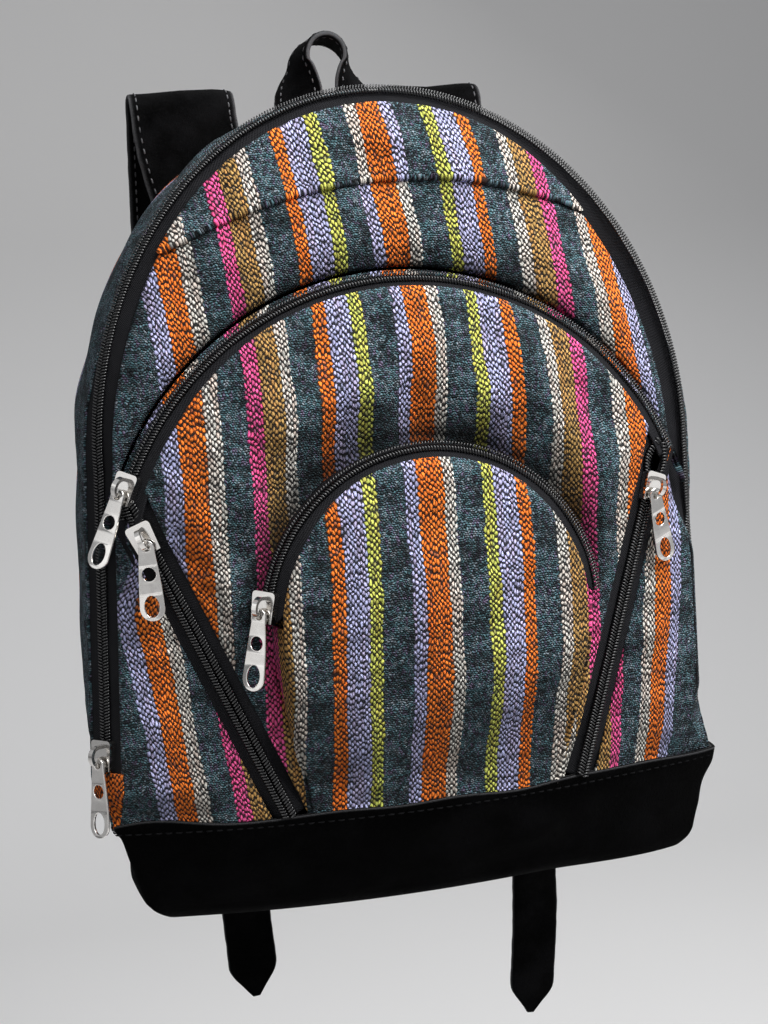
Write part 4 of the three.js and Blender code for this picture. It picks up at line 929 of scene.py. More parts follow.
@dataclass
class BagForm:
    """Sizes of the sewn bag and the surfaces that its pieces share."""

    gap: float = 0.3
    cloth: float = 1.6
    seam_bulge: float = 23.3
    seam_end: float = 136.0
    left_seam: float = 139.5
    left_shoulder: float = 130.0
    right_seam: float = 131.5
    right_shoulder: float = 135.5
    shoulder_height: float = 150.0
    arch_rise: float = 156.0
    front_lean: float = math.radians(4.8)
    back_depth: float = 100.0
    belly_side: float = 3.5
    belly_top: float = 2.0
    belly_rise: float = 55.0
    back_tuck: float = 14.0
    back_tuck_height: float = 85.0
    crescent_bulge: float = 6.0
    wall_rise: float = 48.0
    tape: float = 0.8
    tape_half: float = 8.5
    main_tilt: float = math.radians(50.0)
    main_fold_inner: float = math.radians(-20.0)
    main_fold_outer: float = math.radians(35.0)
    right_facing: float = math.radians(-38.0)
    right_back: float = math.radians(30.0)
    main_end: float = 22.0
    edge_full: float = 17.0
    edge_fade: float = 0.35
    middle: PocketArc = PocketArc(0.0, 93.6, 130.0, 4.0, math.radians(0.9), bulge=15.0, square=3.6)
    middle_left_end: float = math.radians(71.0)
    middle_right_end: float = math.radians(66.0)
    middle_fill: float = 110.0
    small: PocketArc = PocketArc(2.5, 79.5, 72.9, 25.0, math.radians(2.0), bulge=8.0, square=2.0)
    small_end: float = math.radians(86.0)
    small_foot: float = 52.0
    small_fill: float = 70.0
    skirt: float = 24.0
    sink: float = 4.0
    seat_rise: float = 40.0
    slash_inset: float = 3.4
    slash_drop: float = 2.9
    slash_ahead: float = 6.5
    slash_left_foot: float = 64.8
    slash_right_foot: float = 67.5
    slash_slope: float = 0.35
    slash_tuck: float = 3.0
    slash_reach: float = 26.0
    corner_swell: float = 0.07
    corner_least: float = 5.0

    def __post_init__(self) -> None:
        """Works out the sizes that follow from the others."""
        setback = 0.7 * self.cloth
        self.edge = self.tape_half + self.gap + setback
        self.seat = (self.tape_half + self.tape) * math.sin(POCKET_TILT) + self.gap
        self.rise = self.edge * math.sin(POCKET_TILT)
        self.reach = self.edge * math.cos(POCKET_TILT)
        self.above = 0.4 * self.cloth - self.tape / 2.0
        self.left_top = float(self.slash_line(-1)[2])
        self.right_top = float(self.slash_line(1)[2])

    def main_zip(self, t: Array, fold: float = 0.0) -> Track:
        """Frames of the main zip.

        Args:
            t: Place on the zip, 0 to 1 up the left side, to 2 over the arch, to 3 down the right side.
            fold: Angle by which one tape is folded about the coil over the arch.

        Returns:
            The frames.
        """
        t = np.asarray(t, float)
        arch = (t > 1.0) & (t < 2.0)
        angle = math.pi * (2.0 - t)
        share = np.where(t <= 1.5, t, 3.0 - t)
        side = np.where(t <= 1.5, -1.0, 1.0)
        seam = np.where(side < 0.0, self.left_seam, self.right_seam)
        shoulder = np.where(side < 0.0, self.left_shoulder, self.right_shoulder)
        px = np.where(arch, shoulder * np.cos(angle), side * lerp(seam, shoulder, share))
        over = self.shoulder_height + self.arch_rise * np.sin(angle)
        ph = np.where(arch, over, self.shoulder_height * share)
        ax = np.where(arch, shoulder * np.sin(angle), seam - shoulder)
        ah = np.where(arch, -self.arch_rise * np.cos(angle), -side * self.shoulder_height)
        size = np.hypot(ax, ah)
        ax, ah = ax / size, ah / size
        up, facing = plane_ways(self.front_lean)
        tilt = self.main_tilt + fold * smooth(np.minimum(t, 3.0 - t), 1.0, 1.15)
        tilt = tilt + self.right_back * smooth(t, 2.18, 2.4) * (1.0 - smooth(t, 2.78, 2.9))
        if fold < 0.0:
            tilt = tilt + self.right_facing * smooth(t, 1.6, 1.85) * (1.0 - smooth(t, 2.12, 2.4))
        tilt, px, ph, ax, ah = (v[..., None] for v in (tilt, px, ph, ax, ah))
        normal = (ax * up - ah * RIGHT) * np.sin(tilt) + facing * np.cos(tilt)
        return Track(px * RIGHT + ph * up, ax * RIGHT + ah * up, normal)

    def slash_ends(self, side: int) -> tuple[Array, Array]:
        """Returns the foot and the top of a slash zip's line."""
        foot, top_x, top = self.slash_line(side)
        return at(side * foot, self.seam_forward(foot), 0.0), at(side * top_x, self.slash_ahead, top)

    def slash_zip(self, side: int, distance: Array) -> Track:
        """Places frames of a slash pocket's zip.

        Args:
            side: -1 for the left, 1 for the right.
            distance: Distances up from the seam.

        Returns:
            The frames.
        """
        low, high = self.slash_ends(side)
        along = unit(high - low)
        fall = unit(np.array([side, self.slash_slope, 0.0]))
        normal = unit(-side * np.cross(along, fall))
        point = low + along * np.asarray(distance, float)[..., None]
        return Track(point, np.broadcast_to(along, point.shape), np.broadcast_to(normal, point.shape))

    def slash_line(self, side: Any) -> tuple[Any, Any, Any]:
        """Returns a slash zip's distance from the middle at its foot and at its top, and the top's height."""
        left = np.asarray(side) < 0
        end = np.where(left, self.middle_left_end, self.middle_right_end)
        top_x = self.middle.radius * np.sin(end) - self.slash_inset
        top = self.middle.centre + self.middle.radius * np.cos(end) - self.slash_drop
        return np.where(left, self.slash_left_foot, self.slash_right_foot), top_x, top

    def slash_length(self, side: int) -> float:
        """Returns the length of a slash zip's line."""
        low, high = self.slash_ends(side)
        return float(np.linalg.norm(high - low))

    def seam_forward(self, x: Any) -> Any:
        """Returns how far forward the base seam lies."""
        return self.seam_bulge * (1.0 - (x / self.seam_end) ** 2)

    def side_height(self, t: Array) -> Array:
        """Returns the height on a straight side at places on the outline, or the shoulder's over the arch."""
        return self.shoulder_height * np.minimum(np.minimum(t, 3.0 - t), 1.0)

    def drawn_in(self, t: Array, height: Array) -> Array:
        """Returns a side's distance from the middle near the seam, as a share of the straight side's."""
        seam = np.where(t < 1.5, self.left_seam, self.right_seam)
        return lerp(self.seam_end / seam, 1.0, smooth(height, 0.0, self.edge_full))

    def belly(self, t: Array) -> Array:
        """Returns the outward swell of the side band at a place on the outline."""
        height = self.side_height(t)
        to_side = np.where((t > 1.0) & (t < 2.0), np.abs(np.cos(math.pi * (2.0 - t))), 1.0)
        return lerp(self.belly_top, self.belly_side, to_side * smooth(height, 0.0, self.belly_rise))

    def wall_forward(self, x: Any, height: Any) -> Any:
        """Returns how far forward the wall behind the pockets lies."""
        seam = self.seam_forward(x) - 2.0 * (self.cloth + self.gap)
        return lerp(seam, self.middle.plane(height) - self.seat, smooth(height, 0.0, self.wall_rise))

    def slash_forward(self, side: Any, x: Any, height: Any) -> Any:
        """Returns how far forward the cloth beside a slash zip lies."""
        foot, top_x, top = self.slash_line(side)
        share = height / top
        line = lerp(foot, top_x, share)
        return lerp(self.seam_forward(foot), self.slash_ahead, share) - self.slash_slope * (side * x - line)

    def slash_edge(self, side: int, height: Any, beyond: float) -> Any:
        """Returns the place across of an edge beside a slash zip."""
        foot, top_x, top = self.slash_line(side)
        slant = np.hypot(top_x - foot, top) / top
        return side * (lerp(foot, top_x, height / top) + beyond * slant)

    def swollen(self, arc: PocketArc, x: Array, height: Array) -> Array:
        """Returns how far forward a full pocket's cloth lies."""
        edge = arc.radius - self.reach
        out = arc.from_middle(x, height)
        rim = arc.plane(height) + self.rise + self.above - np.maximum(0.0, out - edge)
        return rim + arc.bulge * (1.0 - np.minimum(1.0, out / edge) ** arc.square)

    def middle_forward(self, x: Array, height: Array) -> Array:
        """Works out how far forward the middle pocket's cloth lies, drawn in beside the other zips.

        Args:
            x: Places across.
            height: Heights.

        Returns:
            The distance forward.
        """
        low = self.seam_forward(x) - self.cloth - self.gap
        forward = lerp(low, self.swollen(self.middle, x, height), smooth(height, 0.0, self.middle_fill))
        rim = self.small.radius + self.reach
        out = self.small.from_middle(x, height)
        drawn = (1.0 - smooth(out, rim, rim + self.skirt)) * smooth(height, 0.0, self.seat_rise)
        forward = lerp(forward, self.small.plane(height) - self.seat, drawn)
        groove = np.exp(-np.maximum(0.0, out - rim + 3.0) / 6.0)
        forward = forward - self.sink * groove * smooth(height, 30.0, 70.0)
        side = np.where(x < 0.0, -1.0, 1.0)
        foot, top_x, top = self.slash_line(side)
        line = lerp(foot, top_x, height / top)
        near = 1.0 - smooth(np.abs(side * x - line), self.edge + 1.0, self.slash_reach)
        below = 1.0 - smooth(height - top, -20.0, 10.0)
        return lerp(forward, self.slash_forward(side, x, height), near * below * smooth(height, 12.0, 45.0))

    def small_forward(self, x: Array, height: Array) -> Array:
        """Returns how far forward the small pocket's cloth lies."""
        swell = self.swollen(self.small, x, height)
        return lerp(self.seam_forward(x), swell, smooth(height, 0.0, self.small_fill))

    def main_edge(self, t: Array, across: float, above: float) -> Array:
        """Lays the edge of a panel beside the main zip, drawn together below the zip's end.

        Args:
            t: Places on the zip.
            across: Distance across the zip, positive inside it.
            above: Distance above its face.

        Returns:
            Points of the edge.
        """
        track = self.main_zip(t, self.main_fold_inner if across > 0 else self.main_fold_outer)
        height = self.side_height(t)
        fade = lerp(self.edge_fade, 1.0, smooth(height, 0.0, self.edge_full))
        point = track.beside(across * fade, np.full_like(fade, above))
        point[..., 0] *= self.drawn_in(t, height)
        return point

    def corner_point(self, side: int, height: Array, share: Array) -> Array:
        """Lays the face of a corner panel.

        Args:
            side: -1 for the left, 1 for the right.
            height: Heights.
            share: Share of the way from the slash zip to the main zip.

        Returns:
            Points of the face.
        """
        t = height / self.shoulder_height
        outer = self.main_edge(t if side < 0 else 3.0 - t, self.edge - 1.0, self.above + 0.8)
        outer[..., 2] = height
        inner_x = self.slash_edge(side, height, self.edge - 2.7)
        inner_x = side * np.minimum(side * inner_x, side * outer[..., 0] - self.corner_least)
        inner = at(inner_x, self.slash_forward(side, inner_x, height) + 0.6, height)
        swell = self.corner_swell * np.linalg.norm(inner - outer, axis=-1)
        point = lerp(inner, outer, share[..., None])
        point[..., 1] -= swell * 4.0 * share * (1.0 - share)
        lift = smooth(height, 0.0, self.edge_full)
        point[..., 1] = lerp(-self.seam_forward(point[..., 0]), point[..., 1], lift)
        return point

    def back_station(self, t: Array) -> tuple[Array, Array, Array]:
        """Lays the outline of the back.

        Args:
            t: Places on the front outline.

        Returns:
            Points of the back outline, the way outward and the height.
        """
        track = self.main_zip(t)
        outward = np.cross(track.along, np.array([0.0, 1.0, 0.0]))
        outward[..., 1] = 0.0
        outward = unit(outward)
        height = self.side_height(t)
        tuck = self.back_tuck * (1.0 - smooth(height, 0.0, self.back_tuck_height))
        point = track.point - outward * tuck[..., None]
        point[..., 0] *= self.drawn_in(t, height)
        upright = (t < 1.0) | (t > 2.0)
        point[..., 2] = np.where(upright, height, point[..., 2])
        return point, outward, height


def rolled(distance: Array, drop: float, width: float) -> Array:
    """Returns how far a turned-under edge drops towards its rim, by distance from the rim."""
    share = np.clip(1.0 - distance / width, 0.0, 1.0)
    return drop * (1.0 - np.sqrt(np.maximum(0.0, 1.0 - share ** 2)))


def puckers(run: Array, distance: Array, seed: int, height: float = 0.55, depth: float = 11.0) -> Array:
    """Returns little gathers beside a seam, by the distance along it and from it, over which they fade."""
    wave = Relief(seed, 15.0, height).at(run, run * 0.0 + 0.1 * distance)
    return wave * np.exp(-distance / depth) * smooth(distance, 0.0, 2.5)


@dataclass
class ClothPiece:
    """A cut of cloth on the bag: makes and dresses its mesh, and logs its faces and area."""

    form: BagForm
    wardrobe: Wardrobe
    cut_x: float = 0.0
    cut_height: float = 0.0

    def cut(self, x: Any, height: Any) -> Array:
        """Returns places on the flat cloth, of which every piece has a stretch of its own."""
        return stacked(x + self.cut_x, height + self.cut_height)

    def fabric(self) -> tuple[Material, Slot]:
        """Returns the cloth's finish and slot."""
        return self.wardrobe.cloth, Slot.STRIPED

    def finish(self, parts: MeshParts, name: str, node: str, flat: tuple[float, float]) -> Piece:
        """Turns a surface into a cut of cloth.

        Args:
            parts: The surface.
            name: Name of the piece.
            node: The solid that the piece stands for.
            flat: Width and length of the cut in millimetres.

        Returns:
            The piece.
        """
        piece = parts.build(name, BAG_MIDDLE)
        give_thickness(piece, self.form.cloth)
        self.wardrobe.dress(piece, *self.fabric(), node)
        area = declare_sheet(piece, *flat)
        LOG.info("%s: %d faces, %.4f m2", name, len(piece.data.polygons), area)
        return piece


@dataclass
class SidePiece(ClothPiece):
    """A cut of cloth that is on the left (side -1) and on the right (side 1)."""

    side: int = -1

    @property
    def word(self) -> str:
        """Returns the side's name."""
        return "left" if self.side < 0 else "right"


@dataclass
class FrontPanel(ClothPiece):
    """The front above the middle pocket: a lower cut, and an upper cut joined on by a curved seam."""

    columns: int = 300
    rows: int = 34
    seam_height: float = 266.0
    seam_fall: float = 0.0024
    seam_x: float = 8.0
    lean: float = 0.105
    stripe_height: float = 252.0
    inner_gap: float = 4.6
    past_ends: float = 1.02
    upper_cut: float = 700.0
    upper_x: float = 1.2
    wall_gap: float = 3.4
    wall_side: float = 116.0

    def seam_at(self, x: Array) -> Array:
        """Returns the height of the joining seam."""
        return self.seam_height - self.seam_fall * (x - self.seam_x) ** 2

    def surface(self, t: Array, share: Array) -> Array:
        """Lays the face between two zips.

        Args:
            t: Places on the main zip.
            share: Share of the way from the main zip to the middle zip.

        Returns:
            Points of the face.
        """
        f = self.form
        outer = f.main_edge(t, f.edge - 1.0, f.above + 0.9)
        angle = lerp(-f.middle_left_end, f.middle_right_end, t - 1.0) * self.past_ends
        arc = f.middle.line(f.middle.radius + self.inner_gap, angle)
        inner = at(arc[..., 0], f.middle.plane(arc[..., 1]) - 5.0, arc[..., 1])
        width = np.linalg.norm(outer - inner, axis=-1)
        point = lerp(outer, inner, share[..., None])
        swell = f.crescent_bulge * np.sin(math.pi * np.clip(t - 1.0, 0.0, 1.0))
        point[..., 1] -= swell * 4.0 * share * (1.0 - share)
        inside, outside = (1.0 - share) * width, share * width
        full = smooth(width, 8.0, 40.0)
        point[..., 1] += rolled(inside, 3.6, 9.0) + rolled(outside, 0.6, 1.6)
        run = f.middle.radius * angle
        folds = Relief(5, 46.0, 1.3).at(point[..., 0], point[..., 2])
        folds = folds * smooth(np.minimum(inside, outside), 2.0, 20.0)
        folds = folds + puckers(run * 1.1, outside, 6) + puckers(run, inside, 7)
        point[..., 1] -= folds * full
        return point

    def build(self) -> Piece:
        """Makes the panel of its two cuts and the wall.

        Returns:
            The dressed panel.
        """
        f = self.form
        t = np.linspace(0.93, 2.07, self.columns)
        fine = np.linspace(0.0, 1.0, 240)
        probe = self.surface(*np.broadcast_arrays(t, fine[:, None]))
        over = probe[..., 2] - self.seam_at(probe[..., 0])
        first_below = np.argmax(over < 0.0, axis=0)
        join = np.where(over[0] > 0.0, fine[first_below], 0.0)
        parts = MeshParts()
        s = np.linspace(0.0, 1.0, self.rows)[:, None]
        lower = self.surface(*np.broadcast_arrays(t, lerp(join[None], 1.0, s)))
        u = lower[..., 0] + self.lean * (lower[..., 2] - self.stripe_height)
        # The cloth is darkened near the middle zip as painted shade, where it rolls under towards the zip.
        rim = np.hypot(lower[..., 0], lower[..., 2] - f.middle.centre) - f.middle.radius - self.inner_gap
        parts.grid(lower, self.cut(u, lower[..., 2]), wear_and_painted_shade=0.6 * np.exp(-np.maximum(rim, 0.0) / 5.0))
        held = np.flatnonzero(join > 0.004)
        near = np.array([1.0, 0.995, 0.985, 0.97, 0.94, 0.9, *np.linspace(0.84, 0.0, 20)])[:, None]
        upper = self.surface(*np.broadcast_arrays(t[held], join[held] * near))
        below = np.linalg.norm(upper - upper[:1], axis=-1)
        ends = smooth(join[held], 0.01, 0.12)
        lip = np.where(below < 0.05, 0.05, 0.75 * np.exp(-below / 7.0))
        gather = Relief(12, 13.0, 0.22).at(upper[..., 0], below * 0.2) * np.exp(-below / 9.0)
        upper[..., 1] -= (lip + gather) * ends
        u = self.upper_x - upper[..., 0] - self.lean * (upper[..., 2] - self.stripe_height)
        parts.grid(upper, self.cut(u, self.upper_cut + upper[..., 2]))
        self.wall(parts)
        return self.finish(parts, "front_panel_cloth", "front_panel", (300.0, 330.0))

    def wall(self, parts: MeshParts) -> None:
        """Adds the plain wall behind the pockets.

        Args:
            parts: The panel's parts so far.
        """
        f = self.form
        angle = np.linspace(-f.middle_left_end, f.middle_right_end, 60) * self.past_ends
        arc = f.middle.line(f.middle.radius + self.wall_gap, angle)
        side_x = np.full(14, self.wall_side)
        x = np.concatenate([-side_x, arc[:, 0], side_x])
        h = np.concatenate([np.linspace(3.0, f.left_top, 14), arc[:, 1], np.linspace(f.right_top, 3.0, 14)])
        s = np.linspace(0.0, 1.0, 9)[:, None]
        spine = lerp(3.0, f.middle.centre, smooth(h, 0.0, f.shoulder_height))
        px, ph = x * (1.0 - s), lerp(h, spine, s)
        parts.grid(at(px, f.wall_forward(px, ph) - 0.8, ph), self.cut(px, ph))


@dataclass
class PocketPanel(ClothPiece):
    """A pocket's panel as a web of rings from its outline towards its middle."""

    rings: int = 44

    def outline(self, arc: Array, right: Array, left: Array, count: int) -> Array:
        """Returns the whole outline: the arc, the sides and a foot of a number of points between them."""
        x = np.linspace(right[-1, 0], left[0, 0], count)[1:-1]
        return np.concatenate([arc, right, stacked(x, CLOTH_FOOT), left])

    def web(
        self, outline: Array, middle: Array, forward: Callable[[Array, Array], Array], inner: float, seed: int
    ) -> Array:
        """Lays the cloth inside an outline.

        Args:
            outline: Place across and height of each point of the outline.
            middle: Place across and height of the middle point.
            forward: How far forward the cloth lies at a place.
            inner: Radius about the middle where the fine rings end.
            seed: Seed of the folds.

        Returns:
            Points by ring.
        """
        way = outline - middle
        reach = np.linalg.norm(way, axis=1)
        stop = np.maximum(0.12, 1.0 - inner / reach)
        fine = np.concatenate([[0.0, 0.006, 0.014, 0.026], np.linspace(0.04, 1.0, self.rings)])
        fine = fine[:, None] * stop
        coarse = lerp(stop[None], 0.998, np.linspace(0.2, 1.0, 5)[:, None])
        share = np.concatenate([fine, coarse])
        x, h = outline[:, 0] - way[:, 0] * share, outline[:, 1] - way[:, 1] * share
        distance = share * reach
        run = run_length(outline)
        lift = Relief(seed, 42.0, 1.2).at(x, h) * smooth(distance, 2.0, 18.0)
        lift = lift + puckers(run, distance, seed + 1)
        lift = (lift + 0.8 - rolled(distance, 0.7, 1.8)) * smooth(h, 1.0, 10.0)
        return at(x, forward(x, h) + lift, h)


@dataclass
class MiddlePocket(PocketPanel):
    """The arched middle pocket's panel."""

    cut_x: float = -3.7
    cut_height: float = 400.0

    def build(self) -> Piece:
        """Makes the panel.

        Returns:
            The dressed panel.
        """
        f = self.form
        short = math.radians(4.0)
        angle = np.linspace(short - f.middle_left_end, f.middle_right_end - short, 220)
        radius = f.middle.radius - f.reach + 1.4 + 2.0 * smooth(np.cos(angle), 0.55, 0.95)
        arc = f.middle.line(radius, angle)
        height = np.linspace(0.92 * f.right_top, CLOTH_FOOT, 80)
        right = stacked(f.slash_edge(1, height, 2.7 - f.edge), height)
        height = np.linspace(CLOTH_FOOT, 0.92 * f.left_top, 80)
        left = stacked(f.slash_edge(-1, height, 2.7 - f.edge), height)
        middle = np.array([f.small.x, f.small.centre])
        outline = self.outline(arc, right, left, 60)
        points = self.web(outline, middle, f.middle_forward, f.small.radius - 2.0, 21)
        x, height = points[..., 0], points[..., 2]
        # The cloth is darkened just above the small pocket's zip as painted shade, where it dips behind that
        # pocket.
        rim = f.small.from_middle(x, height) - f.small.radius - 3.0
        shade = (1.0 - smooth(rim, 1.0, 15.0)) * smooth(height, f.small.centre - 20.0, f.small.centre + 45.0)
        parts = MeshParts().grid(points, self.cut(x, height), ring=True, wear_and_painted_shade=shade)
        return self.finish(parts, "middle_pocket_cloth", "middle_pocket_panel", (245.0, 225.0))


@dataclass
class SmallPocket(PocketPanel):
    """The small pocket's panel, with its sides turned back to the middle pocket below the zip."""

    cut_x: float = 1.5
    cut_height: float = 900.0
    cut_lean: float = 0.02
    stripe_height: float = 77.0

    def build(self) -> Piece:
        """Makes the panel with its sides.

        Returns:
            The dressed panel.
        """
        f = self.form
        radius = f.small.radius - f.reach + 1.4
        angle = np.linspace(-f.small_end, f.small_end, 170)
        wide = radius + 1.6 * smooth(np.cos(angle), 0.5, 0.95)
        arc = f.small.line(wide, angle)
        hip = f.small.centre + radius * math.cos(f.small_end)
        height = np.linspace(hip, CLOTH_FOOT, 52)[1:]
        half = lerp(f.small_foot, radius * math.sin(f.small_end), smooth(height, -0.4 * hip, hip))
        lean = f.small.x * height / hip
        right = stacked(lean + half, height)
        left = stacked(lean - half, height)[::-1]
        middle = np.array([f.small.x, 0.62 * f.small.centre])
        points = self.web(self.outline(arc, right, left, 56), middle, f.small_forward, 3.0, 31)
        parts = MeshParts().grid(points, self.cut(points[..., 0], points[..., 2]), ring=True)
        for edge, sign in ((right, 1.0), (left[::-1], -1.0)):
            self.side(parts, edge, sign)
        return self.finish(parts, "small_pocket_cloth", "small_pocket_panel", (140.0, 150.0))

    def cut(self, x: Any, height: Any) -> Array:
        """Returns places on the flat cloth, which lies a little askew."""
        return super().cut(x, height) - stacked(self.cut_lean * (height - self.stripe_height), 0.0)

    def side(self, parts: MeshParts, edge: Array, sign: float) -> None:
        """Adds a side turned back to the middle pocket.

        Args:
            parts: The panel's parts so far.
            edge: Place across and height along the edge where it starts.
            sign: -1 for the left, 1 for the right.
        """
        f = self.form
        front = at(edge[:, 0], f.small_forward(edge[:, 0], edge[:, 1]) - 1.0, edge[:, 1])
        out_x = edge[:, 0] + sign * 1.6
        back = at(out_x, f.middle_forward(out_x, edge[:, 1]) - 1.0, edge[:, 1])
        share = np.linspace(0.0, 1.0, 7)[:, None, None]
        points = lerp(front[None], back[None], share)
        points[..., 0] += sign * 1.2 * np.sin(math.pi * share[..., 0])
        spread = np.broadcast_to(front, points.shape)
        places = self.cut(spread[..., 0], spread[..., 2])
        places[..., 0] += sign * share[..., 0] * np.linalg.norm(back - front, axis=-1)
        parts.grid(points, places)


@dataclass(frozen=True)
class StripeFit:
    """How the stripes lie on a corner: the one at a point, and their lean, spread and shift from there."""

    stripe: float
    x: float
    height: float
    lean: float
    spread: float
    shift: float

    def place(self, x: Array, height: Array) -> Array:
        """Returns places across the flat cloth."""
        across = (x - self.x - self.lean * (height - self.height)) * self.spread
        return self.stripe + across - self.shift * smooth(height, 88.0, 118.0)


@dataclass
class CornerPanel(SidePiece):
    """The cloth outside a slash zip."""

    cut_height: float = 1300.0
    cut_apart: float = 40.0
    left_fit: StripeFit = StripeFit(-98.9, -113.0, 44.7, -0.12, 1.1, 13.0)
    right_fit: StripeFit = StripeFit(98.9, 110.3, 49.5, 0.124, 1.3, 0.0)

    def build(self) -> Piece:
        """Makes the panel.

        Returns:
            The dressed panel.
        """
        f = self.form
        share = np.concatenate([[0.0, 0.02, 0.05], np.linspace(0.09, 0.91, 46), [0.95, 0.98, 1.0]])[None]
        top, fit = (f.left_top - 3.0, self.left_fit) if self.side < 0 else (f.right_top - 2.0, self.right_fit)
        height = np.linspace(CLOTH_FOOT, top, 96)[:, None]
        share, height = np.broadcast_arrays(share, height)
        points = f.corner_point(self.side, height, share)
        width = np.linalg.norm(points[:, -1] - points[:, 0], axis=-1)[:, None]
        inside, outside = share * width, (1.0 - share) * width
        lift = Relief(40 + self.side, 38.0, 0.7).at(points[..., 0], height)
        lift = lift * smooth(np.minimum(inside, outside), 2.0, 14.0)
        lift = lift + puckers(height, inside, 43 + self.side) + puckers(height, outside, 47 + self.side)
        lift = lift - rolled(inside, 0.6, 1.6) - rolled(outside, 0.6, 1.6)
        points[..., 1] -= lift * smooth(height, 1.0, 10.0)
        places = self.cut(fit.place(points[..., 0], height), height)
        parts = MeshParts().grid(points, places + stacked(0.0, self.cut_apart * self.side))
        return self.finish(parts, f"{self.word}_corner_cloth", f"{self.word}_corner_panel", (80.0, 150.0))


@dataclass
class SideBand(ClothPiece):
    """The band of cloth from the main zip back to the back panel."""

    cut_x: float = -149.0
    cut_height: float = 1700.0

    def build(self) -> Piece:
        """Makes the band.

        Returns:
            The dressed band.
        """
        f = self.form
        t = outline_places(-0.01, 90, 260)
        share = np.concatenate([[0.0, 0.012, 0.03], np.linspace(0.05, 0.95, 40), [0.975, 1.0]])[:, None]
        front = f.main_edge(t, 1.0 - f.edge, f.above + 0.8)
        back, outward, height = f.back_station(t)
        points = lerp(front[None], back[None], share[..., None])
        points[..., 1] = lerp(front[:, 1], f.back_depth - 0.2, share)
        points += outward * (f.belly(t) * 4.0 * share * (1.0 - share))[..., None]
        upright = (t < 1.0) | (t > 2.0)
        points[..., 2] = np.where(upright[None], height[None], points[..., 2])
        depth = f.back_depth - front[:, 1]
        run = run_length(front)
        inside, outside = share * depth, (1.0 - share) * depth
        lift = Relief(51, 52.0, 0.45).at(run[None], inside) * smooth(np.minimum(inside, outside), 2.0, 16.0)
        lift = lift + puckers(run[None], inside, 52) - rolled(inside, 0.6, 1.6) - rolled(outside, 1.2, 3.0)
        points += outward * (lift * smooth(height, 1.0, 12.0))[..., None]
        parts = MeshParts().grid(points, self.cut(inside, run[None]))
        return self.finish(parts, "gusset_cloth", "gusset", (110.0, 800.0))


@dataclass
class BackPanel(ClothPiece):
    """The plain back, with the outline of the side band's back edge."""

    cut_height: float = 2600.0

    def build(self) -> Piece:
        """Makes the panel.

        Returns:
            The dressed panel.
        """
        f = self.form
        back, _, _ = f.back_station(outline_places(0.0, 40, 110))
        foot_x = np.linspace(back[-1, 0], back[0, 0], 60)[1:-1]
        outline = np.concatenate([back[:, [0, 2]], stacked(foot_x, 0.0)])
        middle = np.array([0.0, 130.0])
        share = np.concatenate([[0.0, 0.008, 0.02], np.linspace(0.04, 0.996, 30)])[:, None]
        x = lerp(outline[:, 0], middle[0], share)
        h = lerp(outline[:, 1], middle[1], share)
        reach = np.linalg.norm(outline - middle, axis=1) * share
        lift = Relief(61, 60.0, 0.35).at(x, h) * smooth(reach, 3.0, 30.0) - rolled(reach, 1.0, 2.5) - 0.4
        points = at(x, -f.back_depth - lift, h)
        parts = MeshParts().grid(points, self.cut(x, h), ring=True)
        return self.finish(parts, "back_panel_cloth", "back_panel", (276.0, 310.0))


@dataclass
class ZipEndPatch(SidePiece):
    """The small cut of cloth that closes the seam below an end of the main zip."""

    def fabric(self) -> tuple[Material, Slot]:
        """Returns the patch's finish and slot."""
        return self.wardrobe.patch, Slot.PATCH

    def build(self) -> Piece:
        """Makes the patch.

        Returns:
            The dressed patch.
        """
        f = self.form
        height = np.linspace(CLOTH_FOOT, f.main_end + 1.5, 26)
        t = height / f.shoulder_height
        t = t if self.side < 0 else 3.0 - t
        front = f.corner_point(self.side, height, np.ones_like(height))
        rear = f.main_edge(t, 1.2 - f.edge, f.above)
        rear[:, 2] = height
        share = np.linspace(-0.04, 1.04, 22)[None, :, None]
        points = lerp(front[:, None], rear[:, None], share)
        middle = np.array([0.0, 40.0, 10.0])
        out = unit((points - middle) * np.array([1.0, 1.0, 0.0]))
        points += out * (0.9 * np.sin(math.pi * np.clip(share, 0, 1)) - 0.2)
        width = np.linalg.norm(front - rear, axis=1)[:, None]
        dark = 0.0 if self.side < 0 else 80.0
        across = (share[..., 0] - 0.5) * width + dark
        parts = MeshParts().grid(points, self.cut(across, height[:, None]))
        return self.finish(parts, f"{self.word}_patch_cloth", f"{self.word}_zip_end_patch", (20.0, 27.0))


# Zips and their metal


